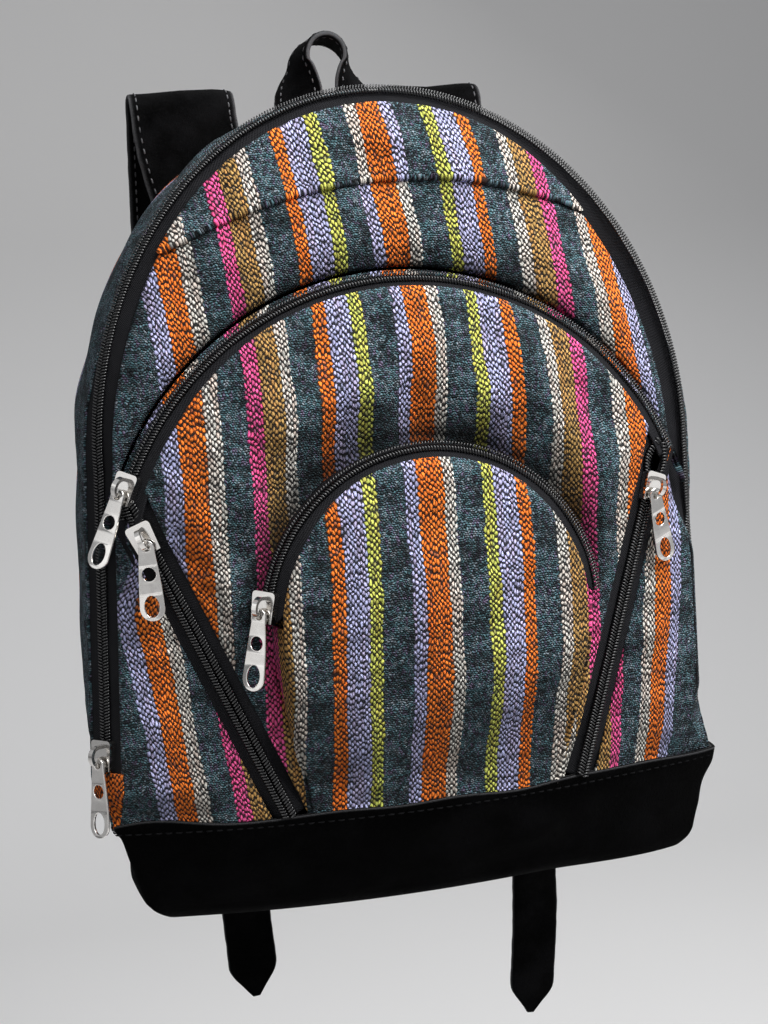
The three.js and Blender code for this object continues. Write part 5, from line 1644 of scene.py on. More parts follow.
@dataclass
class Zip:
    """A coil zip: two tapes and two rows of coil turns that close in its middle."""

    form: BagForm
    wardrobe: Wardrobe
    name: str
    coil: Track
    inner: Track
    outer: Track
    inward: int = 1
    opened: float = 0.0
    spread: float = 3.4
    pitch: float = 1.3
    half_width: float = 2.75
    wire: float = 0.4
    taper: float = 0.0
    grounded: bool = False
    tape_edge: float = 10.2

    def part_width(self, run: Array) -> Array:
        """Returns how far each side stands off the middle where the zip is open at its end."""
        if self.opened <= 0.0:
            return np.zeros_like(run)
        share = np.clip((run - run[-1] + self.opened) / self.opened, 0.0, 1.0)
        return self.spread * np.sin(math.pi * share)

    def build_tape(self, track: Track, sign: int, word: str) -> None:
        """Makes one tape.

        Args:
            track: Frames of the tape.
            sign: 1 for the tape on the across side, -1 for the other.
            word: Name of the tape, inner or outer.
        """
        f = self.form
        run = track.run()
        apart = self.part_width(run)
        share = np.linspace(0.0, 1.0, 12)[:, None]
        edges = np.full_like(run, self.tape_edge)
        if self.taper > 0.0:
            to_end = np.minimum(run, run[-1] - run)
            edges = lerp(self.half_width, self.tape_edge, np.sqrt(smooth(to_end, 0.0, self.taper)))
        across = lerp(0.35 + apart[None], edges[None], share)
        ripple = Relief(len(self.name) + sign, 30.0, 0.12).at(run[None], across)
        points = track.beside(sign * across, ripple)
        if self.grounded:
            height = np.maximum(points[..., 2], -1.2)
            if word == "inner":
                rest = track.point[None, :, 1] + lerp(0.5, 2.2, share)
                full = smooth(height, 12.0, 45.0)
            else:
                rest = lerp(0.8, 3.4, share) - f.seam_forward(points[..., 0])
                full = smooth(height, 0.0, 18.0)
            points[..., 1] = lerp(rest, points[..., 1], full)
            points[..., 2] = height
        parts = MeshParts().grid(points, stacked(across, run[None]))
        piece = parts.build(f"{self.name}_{word}_tape_weave", BAG_MIDDLE)
        give_thickness(piece, f.tape)
        self.wardrobe.dress(piece, self.wardrobe.tape, Slot.TAPE, f"{self.name}_zip_{word}_tape")
        declare_sheet(piece, self.tape_edge, float(run[-1]))
        self.build_coil(sign, word)
        LOG.info("%s: tape %.0f mm", piece.name, run[-1])

    def build_coil(self, sign: int, word: str) -> None:
        """Makes one row of coil turns.

        Args:
            sign: 1 for the row on the across side, -1 for the other.
            word: Name of its tape, inner or outer.
        """
        outer, wire = self.half_width, self.wire
        path = [(outer, 0.0), (outer - 0.1, 1.0), (outer - 0.7, 1.7), (0.9, 1.75), (0.0, 1.05)]
        radius = [0.8 * wire, wire, 1.05 * wire, wire, 0.8 * wire]
        form = rod(np.array([[a, 0.0, c] for a, c in path]), radius, 6)
        track = self.coil.spaced(self.pitch, 0.5 if sign > 0 else 0.5 + self.pitch / 2.0)
        apart = self.part_width(track.run())[:, None]
        origin = track.point + sign * track.across * apart
        lean = unit(track.across * sign + track.along * 0.3)
        parts = MeshParts().copies(form, origin, lean, track.along, track.normal)
        piece = parts.build(f"{self.name}_{word}_coil")
        self.wardrobe.dress(piece, self.wardrobe.coil, Slot.TAPE, f"{self.name}_zip_{word}_tape")

    def build(self) -> None:
        """Makes both halves."""
        self.build_tape(self.inner, self.inward, "inner")
        self.build_tape(self.outer, -self.inward, "outer")


@dataclass
class SliderPull:
    """A zip's slider and its tab."""

    wardrobe: Wardrobe
    name: str
    seat: Track
    swing: float = 0.0
    thickness: float = 1.2
    length: float = 31.0
    eye_half: float = 4.0
    tip_half: float = 5.4
    bail_radius: float = 3.8
    bail_bar: float = 1.5
    bail_width: float = 2.2
    play: float = 0.6
    hole: float = 2.9
    oval: tuple[float, float] = (3.1, 4.6)
    low: float = 4.5
    rounding: float = 0.3

    def outlines(self) -> list[Array]:
        """Draws the tab flat, with the bail's leg at the eye.

        Returns:
            The tab's outline and its three holes.
        """
        tip = self.tip_half - self.length
        top = self.eye_half - 0.6
        half = np.linspace(0.0, math.pi, 22)
        crown = stacked(top * np.cos(half), top * np.sin(half))
        side_y = np.array([0.0, -3.5, -7.0, -12.0, -18.0, tip])
        side_x = np.array([top, *(self.eye_half * np.array([0.9, 1.0, 1.12, 1.24])), self.tip_half])
        flank = smooth_line(stacked(-side_x, side_y, 0.0), 30)[1:-1, :2]
        half = np.linspace(math.pi, 2.0 * math.pi, 30)
        foot = stacked(self.tip_half * np.cos(half), tip + self.tip_half * np.sin(half))
        outline = np.concatenate([crown, flank, foot, flank[::-1] * np.array([-1.0, 1.0])])
        turn = np.linspace(0.0, 2.0 * math.pi, 33)[:-1]
        eye = (0.0, self.bail_width / 2.0 + self.play, self.bail_bar / 2.0 + self.play)
        holes = (eye, (-0.36 * self.length, self.hole, self.hole), (tip + 0.8, *self.oval))
        return [outline, *(stacked(a * np.cos(turn), y + b * np.sin(turn)) for y, a, b in holes)]

    def build(self) -> Piece:
        """Makes the tab, and dresses the slider.

        Returns:
            The dressed tab.
        """
        flat = bpy.data.curves.new("tab_outline", "CURVE")
        flat.dimensions = "2D"
        flat.fill_mode = "BOTH"
        flat.extrude = self.thickness / 2.0 - self.rounding
        flat.bevel_depth = self.rounding
        flat.bevel_resolution = 3
        flat.offset = -self.rounding
        for line in self.outlines():
            spline = flat.splines.new("POLY")
            spline.points.add(len(line) - 1)
            spline.use_cyclic_u = True
            ones = np.ones((len(line), 1))
            spline.points.foreach_set("co", np.hstack([line, 0.0 * ones, ones]).reshape(-1))
        holder = placed("tab_outline", flat)
        mesh = bpy.data.meshes.new_from_object(holder)
        bpy.data.objects.remove(holder)
        bpy.data.curves.remove(flat)
        local = np.empty(3 * len(mesh.vertices), np.float32)
        mesh.vertices.foreach_get("co", local)
        local = local.reshape(-1, 3).astype(float)
        cos, sin = math.cos(self.swing), math.sin(self.swing)
        x, y = local[:, 0] * cos - local[:, 1] * sin, local[:, 0] * sin + local[:, 1] * cos
        y = y - self.bail_radius
        bow = ((local[:, 1] + 0.5 * self.length) / self.length) ** 2
        dish = 0.3 * (local[:, 0] / self.tip_half) ** 2
        z = local[:, 2] + self.low + self.thickness / 2.0 + 0.25 - dish + 1.6 * bow
        seat = self.seat
        points = seat.point + x[:, None] * seat.across + y[:, None] * seat.along + z[:, None] * seat.normal
        mesh.vertices.foreach_set("co", ((points - HANG_POINT) / 1000.0).astype(np.float32).reshape(-1))
        shade_smooth(mesh)
        mesh.update()
        piece = placed(f"{self.name}_pull_tab", mesh)
        crisp(piece)
        pull = f"{self.name}_pull"
        self.wardrobe.dress(piece, self.wardrobe.nickel, Slot.NICKEL, pull, body=pull)
        dress_metal(f"{self.name}_slider", self.wardrobe, 0.35)
        LOG.info("%s: %d faces", piece.name, len(mesh.polygons))
        return piece


def crisp(piece: Piece) -> None:
    """Keeps flat faces flat beside rounded edges."""
    weighted = piece.modifiers.new("normals", "WEIGHTED_NORMAL")
    weighted.keep_sharp = True


def dress_metal(node: str, wardrobe: Wardrobe, edge: float) -> None:
    """Rounds a metal solid's edges and gives it its finish.

    Args:
        node: Name of the solid.
        wardrobe: The finishes.
        edge: Width of the rounding in millimetres.
    """
    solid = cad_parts[node]
    shade_smooth(solid.data)
    bevel = solid.modifiers.new("edges", "BEVEL")
    bevel.width = edge / 1000.0
    bevel.segments = 3
    bevel.limit_method = "ANGLE"
    bevel.angle_limit = math.radians(35.0)
    crisp(solid)
    solid.data.materials.clear()
    solid.data.materials.append(wardrobe.nickel)


@dataclass
class ZipSet:
    """The five zips with their sliders and tabs."""

    form: BagForm
    wardrobe: Wardrobe
    fold: float = math.radians(36.0)
    overrun: float = math.radians(2.6)
    small_taper: float = 9.0
    left_past: float = 8.0
    right_past: float = 4.0
    right_open: float = 19.0
    right_drop: float = 9.0
    main_stand: float = 31.0
    stand: float = 7.5
    left_swing: float = math.radians(-22.0)
    right_swing: float = math.radians(32.0)

    def make(self, name: str, coil: Track, inner: Track, outer: Track, **more: Any) -> None:
        """Makes one zip of the frames of its coil and tapes."""
        Zip(self.form, self.wardrobe, name, coil, inner, outer, **more).build()

    def hang(self, name: str, track: Track, swing: float = 0.0) -> None:
        """Hangs a slider's tab at the first frame of a track, swung aside by an angle."""
        SliderPull(self.wardrobe, name, track.first(), swing).build()

    def build(self) -> None:
        """Makes the zips, then their sliders and tabs."""
        f = self.form
        t = outline_places(f.main_end / f.shoulder_height, 60, 240)
        self.make("main", f.main_zip(t), f.main_zip(t, f.main_fold_inner), f.main_zip(t, f.main_fold_outer))
        t = np.linspace(-f.middle_left_end - self.overrun, f.middle_right_end + self.overrun, 240)
        self.make("middle", f.middle.zip(t), f.middle.zip(t), f.middle.zip(t, self.fold))
        t = np.linspace(-f.small_end, f.small_end, 200)
        self.make("small", f.small.zip(t), f.small.zip(t), f.small.zip(t, self.fold), taper=self.small_taper)
        length = {sign: f.slash_length(sign) - f.slash_tuck for sign in (-1, 1)}
        slash = {"pitch": 1.35, "half_width": 3.3, "wire": 0.44, "grounded": True}
        sides = (("left", -1, self.left_past, 0.0), ("right", 1, self.right_past, self.right_open))
        for word, sign, past, opened in sides:
            track = f.slash_zip(sign, np.linspace(-1.0, length[sign] + past, 120))
            self.make(f"{word}_slash", track, track, track, inward=-sign, opened=opened, **slash)
        self.hang("main", f.main_zip(np.array([self.main_stand / f.shoulder_height])))
        self.hang("middle", f.middle.zip(np.array([self.stand / f.middle.radius - f.middle_left_end])))
        self.hang("small", f.small.zip(np.array([self.stand / f.small.radius - f.small_end])))
        self.hang("left_slash", f.slash_zip(-1, np.array([length[-1] - self.stand])), self.left_swing)
        right = f.slash_zip(1, np.array([length[1] - self.stand - self.right_drop]))
        self.hang("right_slash", right, self.right_swing)


# Suede


def bent(a: Sequence[float], b: Sequence[float], c: Sequence[float], count: int) -> list[Array]:
    """Returns points of a bend from a to c, without the last, that heads for b on the way."""
    a, b, c = np.array(a), np.array(b), np.array(c)
    shares = np.linspace(0, 1, count, endpoint=False)
    return [(1 - s) ** 2 * a + 2 * s * (1 - s) * b + s * s * c for s in shares]


def straight(a: Sequence[float], b: Sequence[float], count: int) -> list[Array]:
    """Returns points of a straight line from a to b, without the last."""
    return [lerp(np.array(a), np.array(b), s) for s in np.linspace(0, 1, count, endpoint=False)]


@dataclass
class SuedeBase:
    """The suede cup sewn round the foot of the bag."""

    form: BagForm
    wardrobe: Wardrobe
    depth: float = 50.0
    suede: float = 2.2
    proud: float = 0.8
    side: float = 1.6
    back: float = 11.0
    front_corner: float = 10.0
    back_corner: float = 16.0
    stitch_drop: float = 4.2
    stitch_pitch: float = 4.3

    def plan(self) -> Array:
        """Draws the rim seen from above.

        Returns:
            Points of its outline.
        """
        f = self.form
        end, deep = f.seam_end, f.back_depth
        side, rear = end + self.side, end - self.back
        corner = self.back_corner
        points = bent((-end, 0), (0, -2 * f.seam_bulge), (end, 0), 150)
        points += bent((end, 0), (side, 1.5), (side, self.front_corner), 12)
        points += straight((side, self.front_corner), (rear, deep - corner), 44)
        points += bent((rear, deep - corner), (rear, deep), (rear - corner, deep), 16)
        points += straight((rear - corner, deep), (corner - rear, deep), 110)
        points += bent((corner - rear, deep), (-rear, deep), (-rear, deep - corner), 16)
        points += straight((-rear, deep - corner), (-side, self.front_corner), 44)
        points += bent((-side, self.front_corner), (-side, 1.5), (-end, 0), 12)
        return np.array(points)

    def build(self) -> Piece:
        """Makes the base and its stitches.

        Returns:
            The dressed base.
        """
        f = self.form
        plan = self.plan()
        middle = (f.back_depth - f.seam_bulge) / 2.0
        half = (f.back_depth + f.seam_bulge) / 2.0
        profile_z = np.array([0.0, 0.4, 1.5, 3.4, 6.0, 10.0, 15.0, 22.0, 30.0, 40.0, 50.0])
        profile_in = np.array([27.0, 23.6, 21.0, 18.0, 15.0, 12.3, 10.0, 7.2, 5.0, 2.2, 0.0])
        wall_z = [np.linspace(0.0, 3.0, 9)[1:], np.linspace(3.0, 49.0, 40)[1:], [49.5, 50.0]]
        z = np.concatenate([np.zeros(8), *wall_z])
        inset = np.interp(z, profile_z, profile_in)
        shrink = np.concatenate([np.linspace(0.02, 1.0, 9)[:-1], np.ones(len(z) - 8)])
        rim_z, rim_in = [50.3, 50.2, 49.6, 44.0], [0.7, 1.9, self.suede, self.suede + 1.0]
        z, inset = np.concatenate([z, rim_z]), np.concatenate([inset, rim_in])
        shrink = np.concatenate([shrink, np.ones(4)])
        square = 1.0 - 0.4 * smooth(plan[:, 0], 60.0, 130.0) * (z < 49.4)[:, None]
        out = self.proud - inset[:, None] * square + self.flare(plan) * (z / 50.0)[:, None]
        x = plan[:, 0] * (1.0 + out / f.seam_end) * shrink[:, None]
        y = middle + (plan[:, 1] - middle) * (1.0 + out / half) * shrink[:, None]
        points = stacked(x, y, (z - self.depth)[:, None])
        run = run_length(np.concatenate([plan, plan[:1]]))[:-1]
        way = unit(np.concatenate([points[..., :2] - np.array([0.0, middle]), 0.0 * points[..., 2:]], -1))
        wall = smooth(z, 1.0, 12.0) * (1.0 - smooth(z, 40.0, 49.0))
        folds = Relief(71, 60.0, 1.0).at(run[None], 2.2 * z[:, None])
        crease = self.crease(points[..., 0], z[:, None]) * (points[..., 1] < 0.0)
        points += way * ((folds - 1.2) * wall[:, None] + crease * wall[:, None])[..., None]
        wavy = Relief(72, 60.0, 0.7).at(run[None], 0.0 * z[:, None])
        points[..., 2] += wavy * smooth(z, 30.0, 49.0)[:, None]
        worn = smooth(z, 48.6, 50.0) * (z < 50.25) * 0.5 + 0.2 * (z > 48.0)
        worn = worn + 0.18 * smooth(z, 0.0, 2.0) * (1.0 - smooth(z, 4.0, 9.0))
        places = stacked(run[None], z[:, None])
        parts = MeshParts().grid(points, places, ring=True, wear_and_painted_shade=worn[:, None])
        piece = parts.build("suede_base", np.array([0.0, middle, 0.0]))
        self.wardrobe.dress(piece, self.wardrobe.suede, Slot.SUEDE, "base_boot")
        self.stitches(plan, middle, half)
        LOG.info("suede_base: %d faces", len(piece.data.polygons))
        return piece

    def flare(self, plan: Array) -> Array:
        """Returns how far the rim stands out at the right front corner."""
        return 3.2 * smooth(plan[:, 0], 80.0, 134.0) * (1.0 - smooth(plan[:, 1], 20.0, 70.0))

    def crease(self, x: Array, z: Array) -> Array:
        """Returns the slanting folds at the front of the wall, left and right."""
        left = np.exp(-(((x + 92.0) - 1.5 * (z - 26.0)) / 9.0) ** 2) * smooth(z, 4.0, 20.0)
        right = np.exp(-(((x - 70.0) + 1.2 * (z - 20.0)) / 11.0) ** 2)
        return -1.6 * left - 1.1 * right

    def stitches(self, plan: Array, middle: float, half: float) -> None:
        """Sews the rim with a row of stitches.

        Args:
            plan: Outline of the rim.
            middle: Middle of the base from front to back.
            half: Half its depth from front to back.
        """
        f = self.form
        drop = self.stitch_drop
        inset = np.interp(self.depth - drop, [40.0, 50.0], [2.2, 0.0])
        out = self.proud - inset + 0.1 + 0.91 * self.flare(plan)
        x, y = plan[:, 0] * (1 + out / f.seam_end), middle + (plan[:, 1] - middle) * (1 + out / half)
        line = stacked(x, y, -drop)
        line = np.concatenate([line, line[:1]])
        spots = even_line(line, int(run_length(line)[-1] / self.stitch_pitch))
        along = unit(np.gradient(spots, axis=0))
        up = np.broadcast_to(np.array([0.0, 0.0, 1.0]), along.shape)
        piece = MeshParts().copies(STITCH, spots, along, up, np.cross(along, up)).build("base_stitches")
        self.wardrobe.dress(piece, self.wardrobe.black_thread, Slot.SUEDE)


@dataclass
class Strip:
    """A flat strip of suede along a route, with rounded edges and stitched borders."""

    wardrobe: Wardrobe
    name: str
    node: str
    route: Array
    wide: Array
    width: Array
    thickness: float
    steps: int = 130
    stitch_inset: float = 3.4
    stitch_pitch: float = 4.2
    sewn: bool = True
    seed: int = 80

    def frames(self) -> tuple[Array, Array, Array, Array]:
        """Follows the strip along its route.

        Returns:
            Points, the way across, the face's normal and the width.
        """
        rows = np.concatenate([self.route, self.wide, self.width[:, None]], axis=1)
        rows = smooth_line(rows, self.steps)
        point, wide, width = rows[:, :3], rows[:, 3:6], rows[:, 6]
        along = unit(np.gradient(point, axis=0))
        across = unit(wide - (wide * along).sum(1, keepdims=True) * along)
        return point, across, np.cross(across, along), width

    def build(self) -> Piece:
        """Makes the strip and its stitches.

        Returns:
            The dressed strip.
        """
        point, across, facing, width = self.frames()
        turn = np.linspace(0.0, 2.0 * math.pi, 41)[:-1]
        flat = np.sign(np.cos(turn)) * np.abs(np.cos(turn)) ** 0.25
        thick = np.sign(np.sin(turn)) * np.abs(np.sin(turn)) ** 0.55
        run = run_length(point)
        half = width[:, None] / 2.0
        a = half * flat[None]
        b = 0.5 * self.thickness * thick[None] * (0.82 + 0.18 * np.sqrt(np.abs(thick[None])))
        wave = Relief(self.seed, 40.0, 0.35).at(run[:, None], a)
        ragged = Relief(self.seed + 1, 9.0, 0.07).at(run[:, None], np.sign(a) * 40.0)
        ragged = ragged * np.abs(flat[None]) ** 8
        points = point[:, None] + across[:, None] * (a + ragged)[..., None]
        points = points + facing[:, None] * (b + wave)[..., None]
        worn = np.abs(flat[None]) ** 14 * np.ones_like(half) * 0.95
        places = stacked(a, run[:, None])
        parts = MeshParts().grid(points, places, ring=True, wear_and_painted_shade=worn)
        columns = len(turn)
        last = (len(point) - 1) * columns
        parts.faces.append(list(range(columns)))
        parts.faces.append(list(range(last + columns - 1, last - 1, -1)))
        piece = parts.build(self.name)
        # The strip takes the suede that is painted lighter as painted light.
        self.wardrobe.dress(piece, self.wardrobe.strap_suede_painted_light, Slot.SUEDE, self.node)
        if self.sewn:
            self.stitches(point, across, facing, width)
        LOG.info("%s: %.0f mm long", self.name, run[-1])
        return piece

    def stitches(self, point: Array, across: Array, facing: Array, width: Array) -> None:
        """Sews both borders, seen on both faces.

        Args:
            point: Points along the strip.
            across: The way across at each.
            facing: The face's normal at each.
            width: The width at each.
        """
        parts = MeshParts()
        run = run_length(point)
        wanted = np.arange(3.0, run[-1] - 2.0, self.stitch_pitch)
        rows = (point, across, facing, width[:, None])
        spot, way, face, wide = (picked(wanted, run, values) for values in rows)
        way, face = unit(way), unit(face)
        along = np.cross(face, way)
        for border in (-1.0, 1.0):
            for side in (-1.0, 1.0):
                place = border * (wide / 2.0 - self.stitch_inset)
                wave = Relief(self.seed, 40.0, 0.35).at(wanted[:, None], place)
                origin = spot + way * place + face * (side * (0.49 * self.thickness - 0.3) + wave)
                parts.copies(STITCH, origin, along, way, face * side)
        piece = parts.build(f"{self.name}_stitches")
        self.wardrobe.dress(piece, self.wardrobe.thread, Slot.SUEDE)


def arc_points(
    centre: Sequence[float], radius: float, start: float, stop: float, steps: int
) -> list[list[float]]:
    """Returns points of an arc by distance behind the front seam and height."""
    angles = np.linspace(start, stop, steps + 1)
    return [[centre[0] + radius * math.cos(a), centre[1] + radius * math.sin(a)] for a in angles]


@dataclass(frozen=True)
class HarnessSide:
    """Where one side's strap, buckle and adjuster lie across the bag, and where the free tail ends."""

    word: str
    sign: int
    crest_x: float
    buckle_x: float
    tail_x: float
    tail_bow: float
    tail_end: float
    anchor_x: float


@dataclass
class Harness:
    """Both sides' shoulder straps, buckles and adjusters, and the grab loop between them."""

    form: BagForm
    wardrobe: Wardrobe
    strap_width: float = 50.0
    strap: float = 3.0
    strap_root_x: float = 52.5
    strap_sewn: float = 94.0
    strap_stand: float = 12.0
    crest_radius: float = 10.0
    strap_bow: float = 34.0
    strap_neck: float = 34.0
    strap_fold: float = 26.0
    buckle_height: float = 82.0
    buckle_standoff: float = 16.0
    buckle_bar: float = 3.0
    buckle_slot: float = 8.0
    buckle_thickness: float = 2.4
    webbing_width: float = 25.0
    webbing: float = 2.5
    tail_point: float = 14.0
    tail_drift: float = 2.0
    tail_straight: float = 18.0
    anchor_height: float = -26.0
    anchor_sewn: float = 30.0
    loop_width: float = 24.0
    loop_thickness: float = 3.0
    loop_foot_x: float = 15.5
    loop_neck_x: float = 11.5
    loop_sewn: float = 34.0
    loop_stand: float = 37.0
    loop_flat: float = 0.55
    loop_turn: float = math.radians(74.0)
    sides: tuple[HarnessSide, ...] = (
        HarnessSide("left", -1, -71.0, -72.0, -64.0, -1.0, -140.0, -100.0),
        HarnessSide("right", 1, 51.5, 72.0, 85.0, 12.0, -175.0, 100.0),
    )

    def __post_init__(self) -> None:
        """Works out the sizes that follow from the others."""
        self.top = self.form.shoulder_height + self.form.arch_rise
        self.behind = self.form.back_depth + self.buckle_standoff

    def bar_clear(self, thickness: float) -> float:
        """Returns the radius of a strip's middle round a buckle's bar."""
        return math.hypot(self.buckle_bar, self.buckle_thickness) / 2.0 + self.form.gap + thickness / 2.0

    def shoulder_strap(self, side: HarnessSide) -> None:
        """Makes a shoulder strap, from its root over the crest to the fold round the buckle.

        Args:
            side: Where it lies.
        """
        back = self.form.back_depth + self.form.gap + self.strap / 2.0
        root, high = self.top - self.strap_sewn, self.top + self.strap_stand
        crest = (back + self.crest_radius, high - self.crest_radius - self.strap / 2.0)
        fold = self.bar_clear(self.strap)
        bar = self.buckle_height + self.buckle_bar + self.buckle_slot
        route = [[back, lerp(root, crest[1], k / 4.0)] for k in range(4)]
        route += arc_points(crest, self.crest_radius, math.pi, 0.12, 10)
        start, low = route[-1], [self.behind + fold, bar + self.strap_neck]
        high_bend = [start[0] + self.strap_bow * 0.6, lerp(start[1], low[1], 0.35)]
        low_bend = [low[0] + self.strap_bow, lerp(start[1], low[1], 0.72)]
        bends = np.array([start, high_bend, low_bend, low])
        for s in np.linspace(0.0, 1.0, 21)[1:]:
            share = [(1 - s) ** 3, 3 * s * (1 - s) ** 2, 3 * s * s * (1 - s), s ** 3]
            route.append(list(sum(k * p for k, p in zip(share, bends))))
        hang = len(route) - 1
        route.append([self.behind + fold, bar + 2.0 * self.strap])
        route += arc_points((self.behind, bar), fold, 0.0, -math.pi, 10)
        route.append([self.behind - fold, bar + self.strap_fold])
        y, h = np.array(route).T
        past = y > crest[0]
        rise = smooth(h, root, high - self.crest_radius)
        fall = np.where(past, smooth(crest[1] - h, 0.0, crest[1] - low[1]), 0.0)
        x = lerp(side.sign * self.strap_root_x, side.crest_x, rise)
        x = np.where(past, lerp(side.crest_x, side.buckle_x, fall), x)
        width = lerp(self.strap_width, self.webbing_width, smooth(fall, 0.72, 1.0))
        x[hang:], width[hang:] = side.buckle_x, self.webbing_width
        name = f"{side.word}_shoulder_strap"
        self.strip(name, stacked(x, y, h), width, self.strap, steps=190, seed=84 + side.sign)

    def strip(
        self, name: str, route: Array, width: Array, thickness: float, wide: Array = RIGHT, **more: Any
    ) -> None:
        """Makes a strip of suede along a route, with the way across it at each point or at all."""
        wide = np.broadcast_to(wide, route.shape)
        Strip(self.wardrobe, f"{name}_suede", name, route, wide, width, thickness, **more).build()

    def adjuster(self, side: HarnessSide) -> None:
        """Makes an adjuster, from its sewn end up round the buckle's bar and down to its free tail.

        Args:
            side: Where it lies.
        """
        fold = self.bar_clear(self.webbing)
        start = self.form.back_depth + 0.8 + self.form.gap + self.webbing / 2.0
        high = self.buckle_height
        route = [
            [start, self.anchor_height, side.anchor_x],
            [start, self.anchor_height + self.anchor_sewn, side.anchor_x],
            [lerp(start, self.behind - fold, 0.5), 0.5 * high, lerp(side.anchor_x, side.buckle_x, 0.55)],
            [self.behind - fold, high - self.tail_straight, side.buckle_x],
        ]
        route += [[y, h, side.buckle_x] for y, h in arc_points((self.behind, high), fold, math.pi, 0.0, 10)]
        drop = high - side.tail_end
        for share in np.linspace(0.04, 1.0, 40):
            x = lerp(side.buckle_x, side.tail_x, share) + side.tail_bow * 4.0 * share * (1.0 - share)
            route.append([self.behind + fold + self.tail_drift * share, high - drop * share, x])
        points = np.array([[x, y, h] for y, h, x in route])
        left = points[:, 2] - side.tail_end
        cut = np.clip(left / self.tail_point, 0.0, 1.0)
        width = self.webbing_width * np.where(points[:, 1] > self.behind, lerp(0.16, 1.0, cut), 1.0)
        self.strip(f"{side.word}_adjuster", points, width, self.webbing, steps=170, sewn=False, seed=90)

    def grab_loop(self) -> None:
        """Makes the grab loop, which faces forward at its feet and turns edge-on over its crest."""
        behind = self.form.back_depth + self.form.gap + self.loop_thickness / 2.0
        rise = 1.05 * self.loop_neck_x
        spring = self.top + self.loop_stand - self.loop_thickness / 2.0 - rise
        foot = self.top - self.loop_sewn
        share = np.linspace(0.0, 1.0, 10)
        drawn = np.maximum(0.0, (share - self.loop_flat) / (1.0 - self.loop_flat))
        leg_x, leg_h = lerp(self.loop_foot_x, self.loop_neck_x, drawn), lerp(foot, spring, share)
        leg_turn = self.loop_turn * drawn
        angle = np.linspace(math.pi, 0.0, 17)[1:-1]
        over = lerp(math.pi - self.loop_turn, self.loop_turn, angle / math.pi)
        turn = np.concatenate([leg_turn, over, math.pi - leg_turn[::-1]])
        x = np.concatenate([-leg_x, self.loop_neck_x * np.cos(angle), leg_x[::-1]])
        h = np.concatenate([leg_h, spring + rise * np.sin(angle), leg_h[::-1]])
        route = stacked(x, behind + self.loop_width / 2.0 * np.sin(turn), h)
        wide = stacked(np.cos(turn), -np.sin(turn), 0.0)
        width = np.full_like(x, self.loop_width)
        self.strip("grab_loop", route, width, self.loop_thickness, wide, steps=120, seed=95)

    def build(self) -> None:
        """Makes both sides and the loop."""
        for side in self.sides:
            self.shoulder_strap(side)
        for side in self.sides:
            self.adjuster(side)
            dress_metal(f"{side.word}_buckle", self.wardrobe, 0.6)
        self.grab_loop()


# Stage


@dataclass(frozen=True)
class Lamp:
    """A square lamp that faces the bag; a card is only there for the metal to mirror."""

    name: str
    place: tuple[float, float, float]
    size: float
    power: float
    card: bool = False

    def build(self, target: Vector) -> None:
        """Hangs the lamp.

        Args:
            target: The point that it faces.
        """
        data = bpy.data.lights.new(self.name, "AREA")
        data.size = self.size
        data.energy = self.power
        made = placed(self.name, data)
        made.location = self.place
        made.visible_diffuse = not self.card
        made.rotation_euler = (target - Vector(self.place)).to_track_quat("-Z", "Y").to_euler()


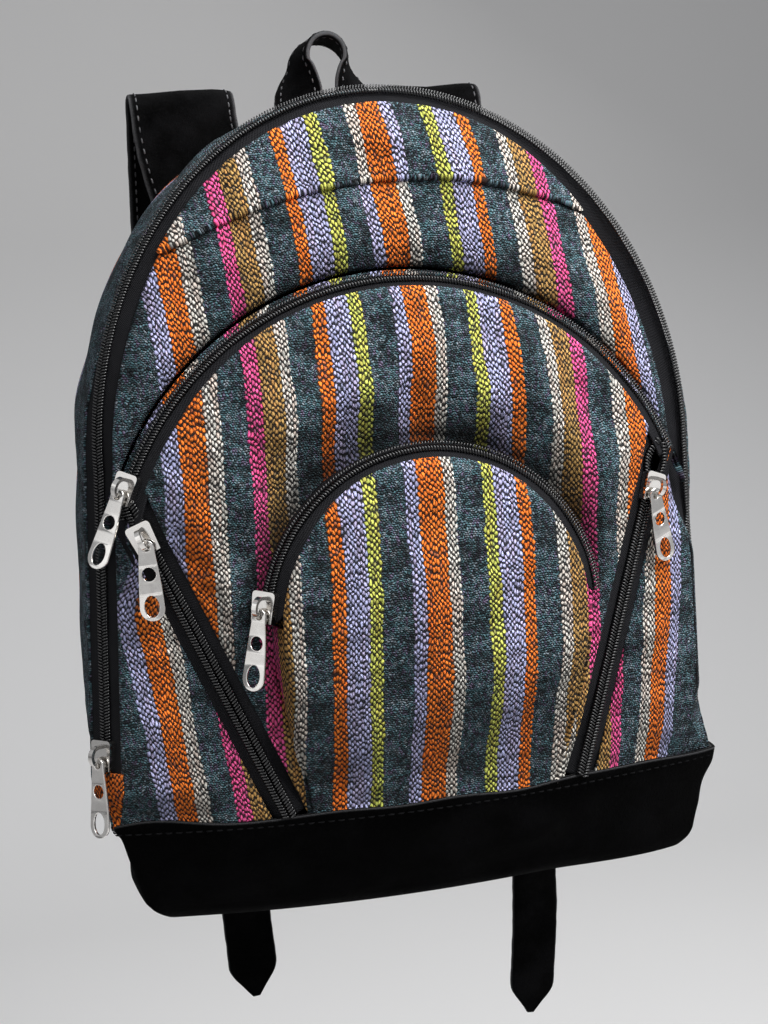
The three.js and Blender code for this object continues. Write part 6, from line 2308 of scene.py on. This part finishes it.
@dataclass
class Stage:
    """The pale sweep, the soft lamps, the world and the camera."""

    eye: tuple[float, float, float] = (-0.1811, -0.7800, -0.1236)
    target: tuple[float, float, float] = (-0.0113, -0.1138, -0.2166)
    roll: float = math.radians(3.4)
    lens: float = 56.25
    floor: float = -0.9
    lamps: tuple[Lamp, ...] = (
        Lamp("key_lamp", (0.46, -0.54, 0.58), 0.7, 15.5),
        Lamp("fill_lamp", (-1.5, -1.1, 0.35), 1.4, 0.8),
        Lamp("left_card", (-1.55, -1.15, 0.2), 2.0, 8.0, card=True),
        Lamp("right_card", (1.5, -1.35, 0.1), 1.5, 4.6, card=True),
        Lamp("back_lamp", (0.9, 1.0, 1.2), 1.2, 11.0),
    )

    def build(self) -> None:
        """Makes everything round the bag."""
        self.sweep()
        for lamp in self.lamps:
            lamp.build(Vector(self.target))
        self.world()
        self.camera()

    def sweep(self) -> None:
        """Makes the floor that curves up into the wall."""
        turn = np.linspace(0.0, math.pi / 2.0, 24)
        y = np.concatenate([[-3.5, 0.6], 1.2 + 0.9 * np.sin(turn), [2.1]])
        z = np.concatenate([[0.0, 0.0], 0.9 - 0.9 * np.cos(turn), [4.0]]) + self.floor
        points = [(x, b, c) for b, c in zip(y, z) for x in (-9.0, 9.0)]
        faces = [(2 * k, 2 * k + 1, 2 * k + 3, 2 * k + 2) for k in range(len(y) - 1)]
        mesh = bpy.data.meshes.new("sweep")
        mesh.from_pydata(points, [], faces)
        shade_smooth(mesh)
        made = placed("sweep", mesh)
        g = Graph(bpy.data.materials.new("pale_paper"))
        where = g.solid_place()
        path = g.node("ShaderNodeLightPath", {}, {})
        pale = g.mix(g.noise(where, 1.2, 2.0), colour(240, 239, 238), colour(246, 245, 244))
        tone = g.mix(path["Is Camera Ray"] + path["Is Glossy Ray"], colour(120, 119, 118), pale)
        paper = g.surface({"Base Color": tone, "Roughness": 0.95, "Specular IOR Level": 0.1})
        made.data.materials.append(paper)

    def world(self) -> None:
        """Lights the scene from all sides, most from above."""
        world = bpy.data.worlds.new("soft_room")
        bpy.context.scene.world = world
        g = Graph(world)
        way = g.node("ShaderNodeTexCoord", {}, {})["Generated"]
        up = g.node("ShaderNodeSeparateXYZ", {}, {"Vector": way})["Z"]
        tone = g.mix(up.step(-0.5, 0.8), colour(66, 65, 64), colour(246, 248, 252))
        room = g.node("ShaderNodeBackground", {}, {"Color": tone, "Strength": 0.55})["Background"]
        g.node("ShaderNodeOutputWorld", {}, {"Surface": room})

    def camera(self) -> None:
        """Sets the camera at the photograph's viewing angle."""
        data = bpy.data.cameras.new("camera")
        data.lens = self.lens
        data.sensor_width = 36.0
        data.clip_start = 0.01
        made = placed("camera", data)
        ahead = (Vector(self.target) - Vector(self.eye)).normalized()
        right = ahead.cross(Vector((0.0, 0.0, 1.0))).normalized()
        up = right.cross(ahead)
        turned_right = right * math.cos(self.roll) - up * math.sin(self.roll)
        turned_up = right * math.sin(self.roll) + up * math.cos(self.roll)
        axes = Matrix((turned_right, turned_up, -ahead)).transposed()
        made.matrix_world = Matrix.Translation(self.eye) @ axes.to_4x4()
        bpy.context.scene.camera = made


def main() -> None:
    """Builds every sub-assembly in order."""
    logging.basicConfig(level=logging.INFO, format="%(name)s %(message)s")
    bpy.context.scene.view_settings.view_transform = "Standard"
    form = BagForm()
    wardrobe = Wardrobe()
    Stage().build()
    FrontPanel(form, wardrobe).build()
    MiddlePocket(form, wardrobe).build()
    SmallPocket(form, wardrobe).build()
    for side in (-1, 1):
        CornerPanel(form, wardrobe, side=side).build()
        ZipEndPatch(form, wardrobe, side=side).build()
    SideBand(form, wardrobe).build()
    BackPanel(form, wardrobe).build()
    ZipSet(form, wardrobe).build()
    SuedeBase(form, wardrobe).build()
    Harness(form, wardrobe).build()


if __name__ == "__main__":
    main()
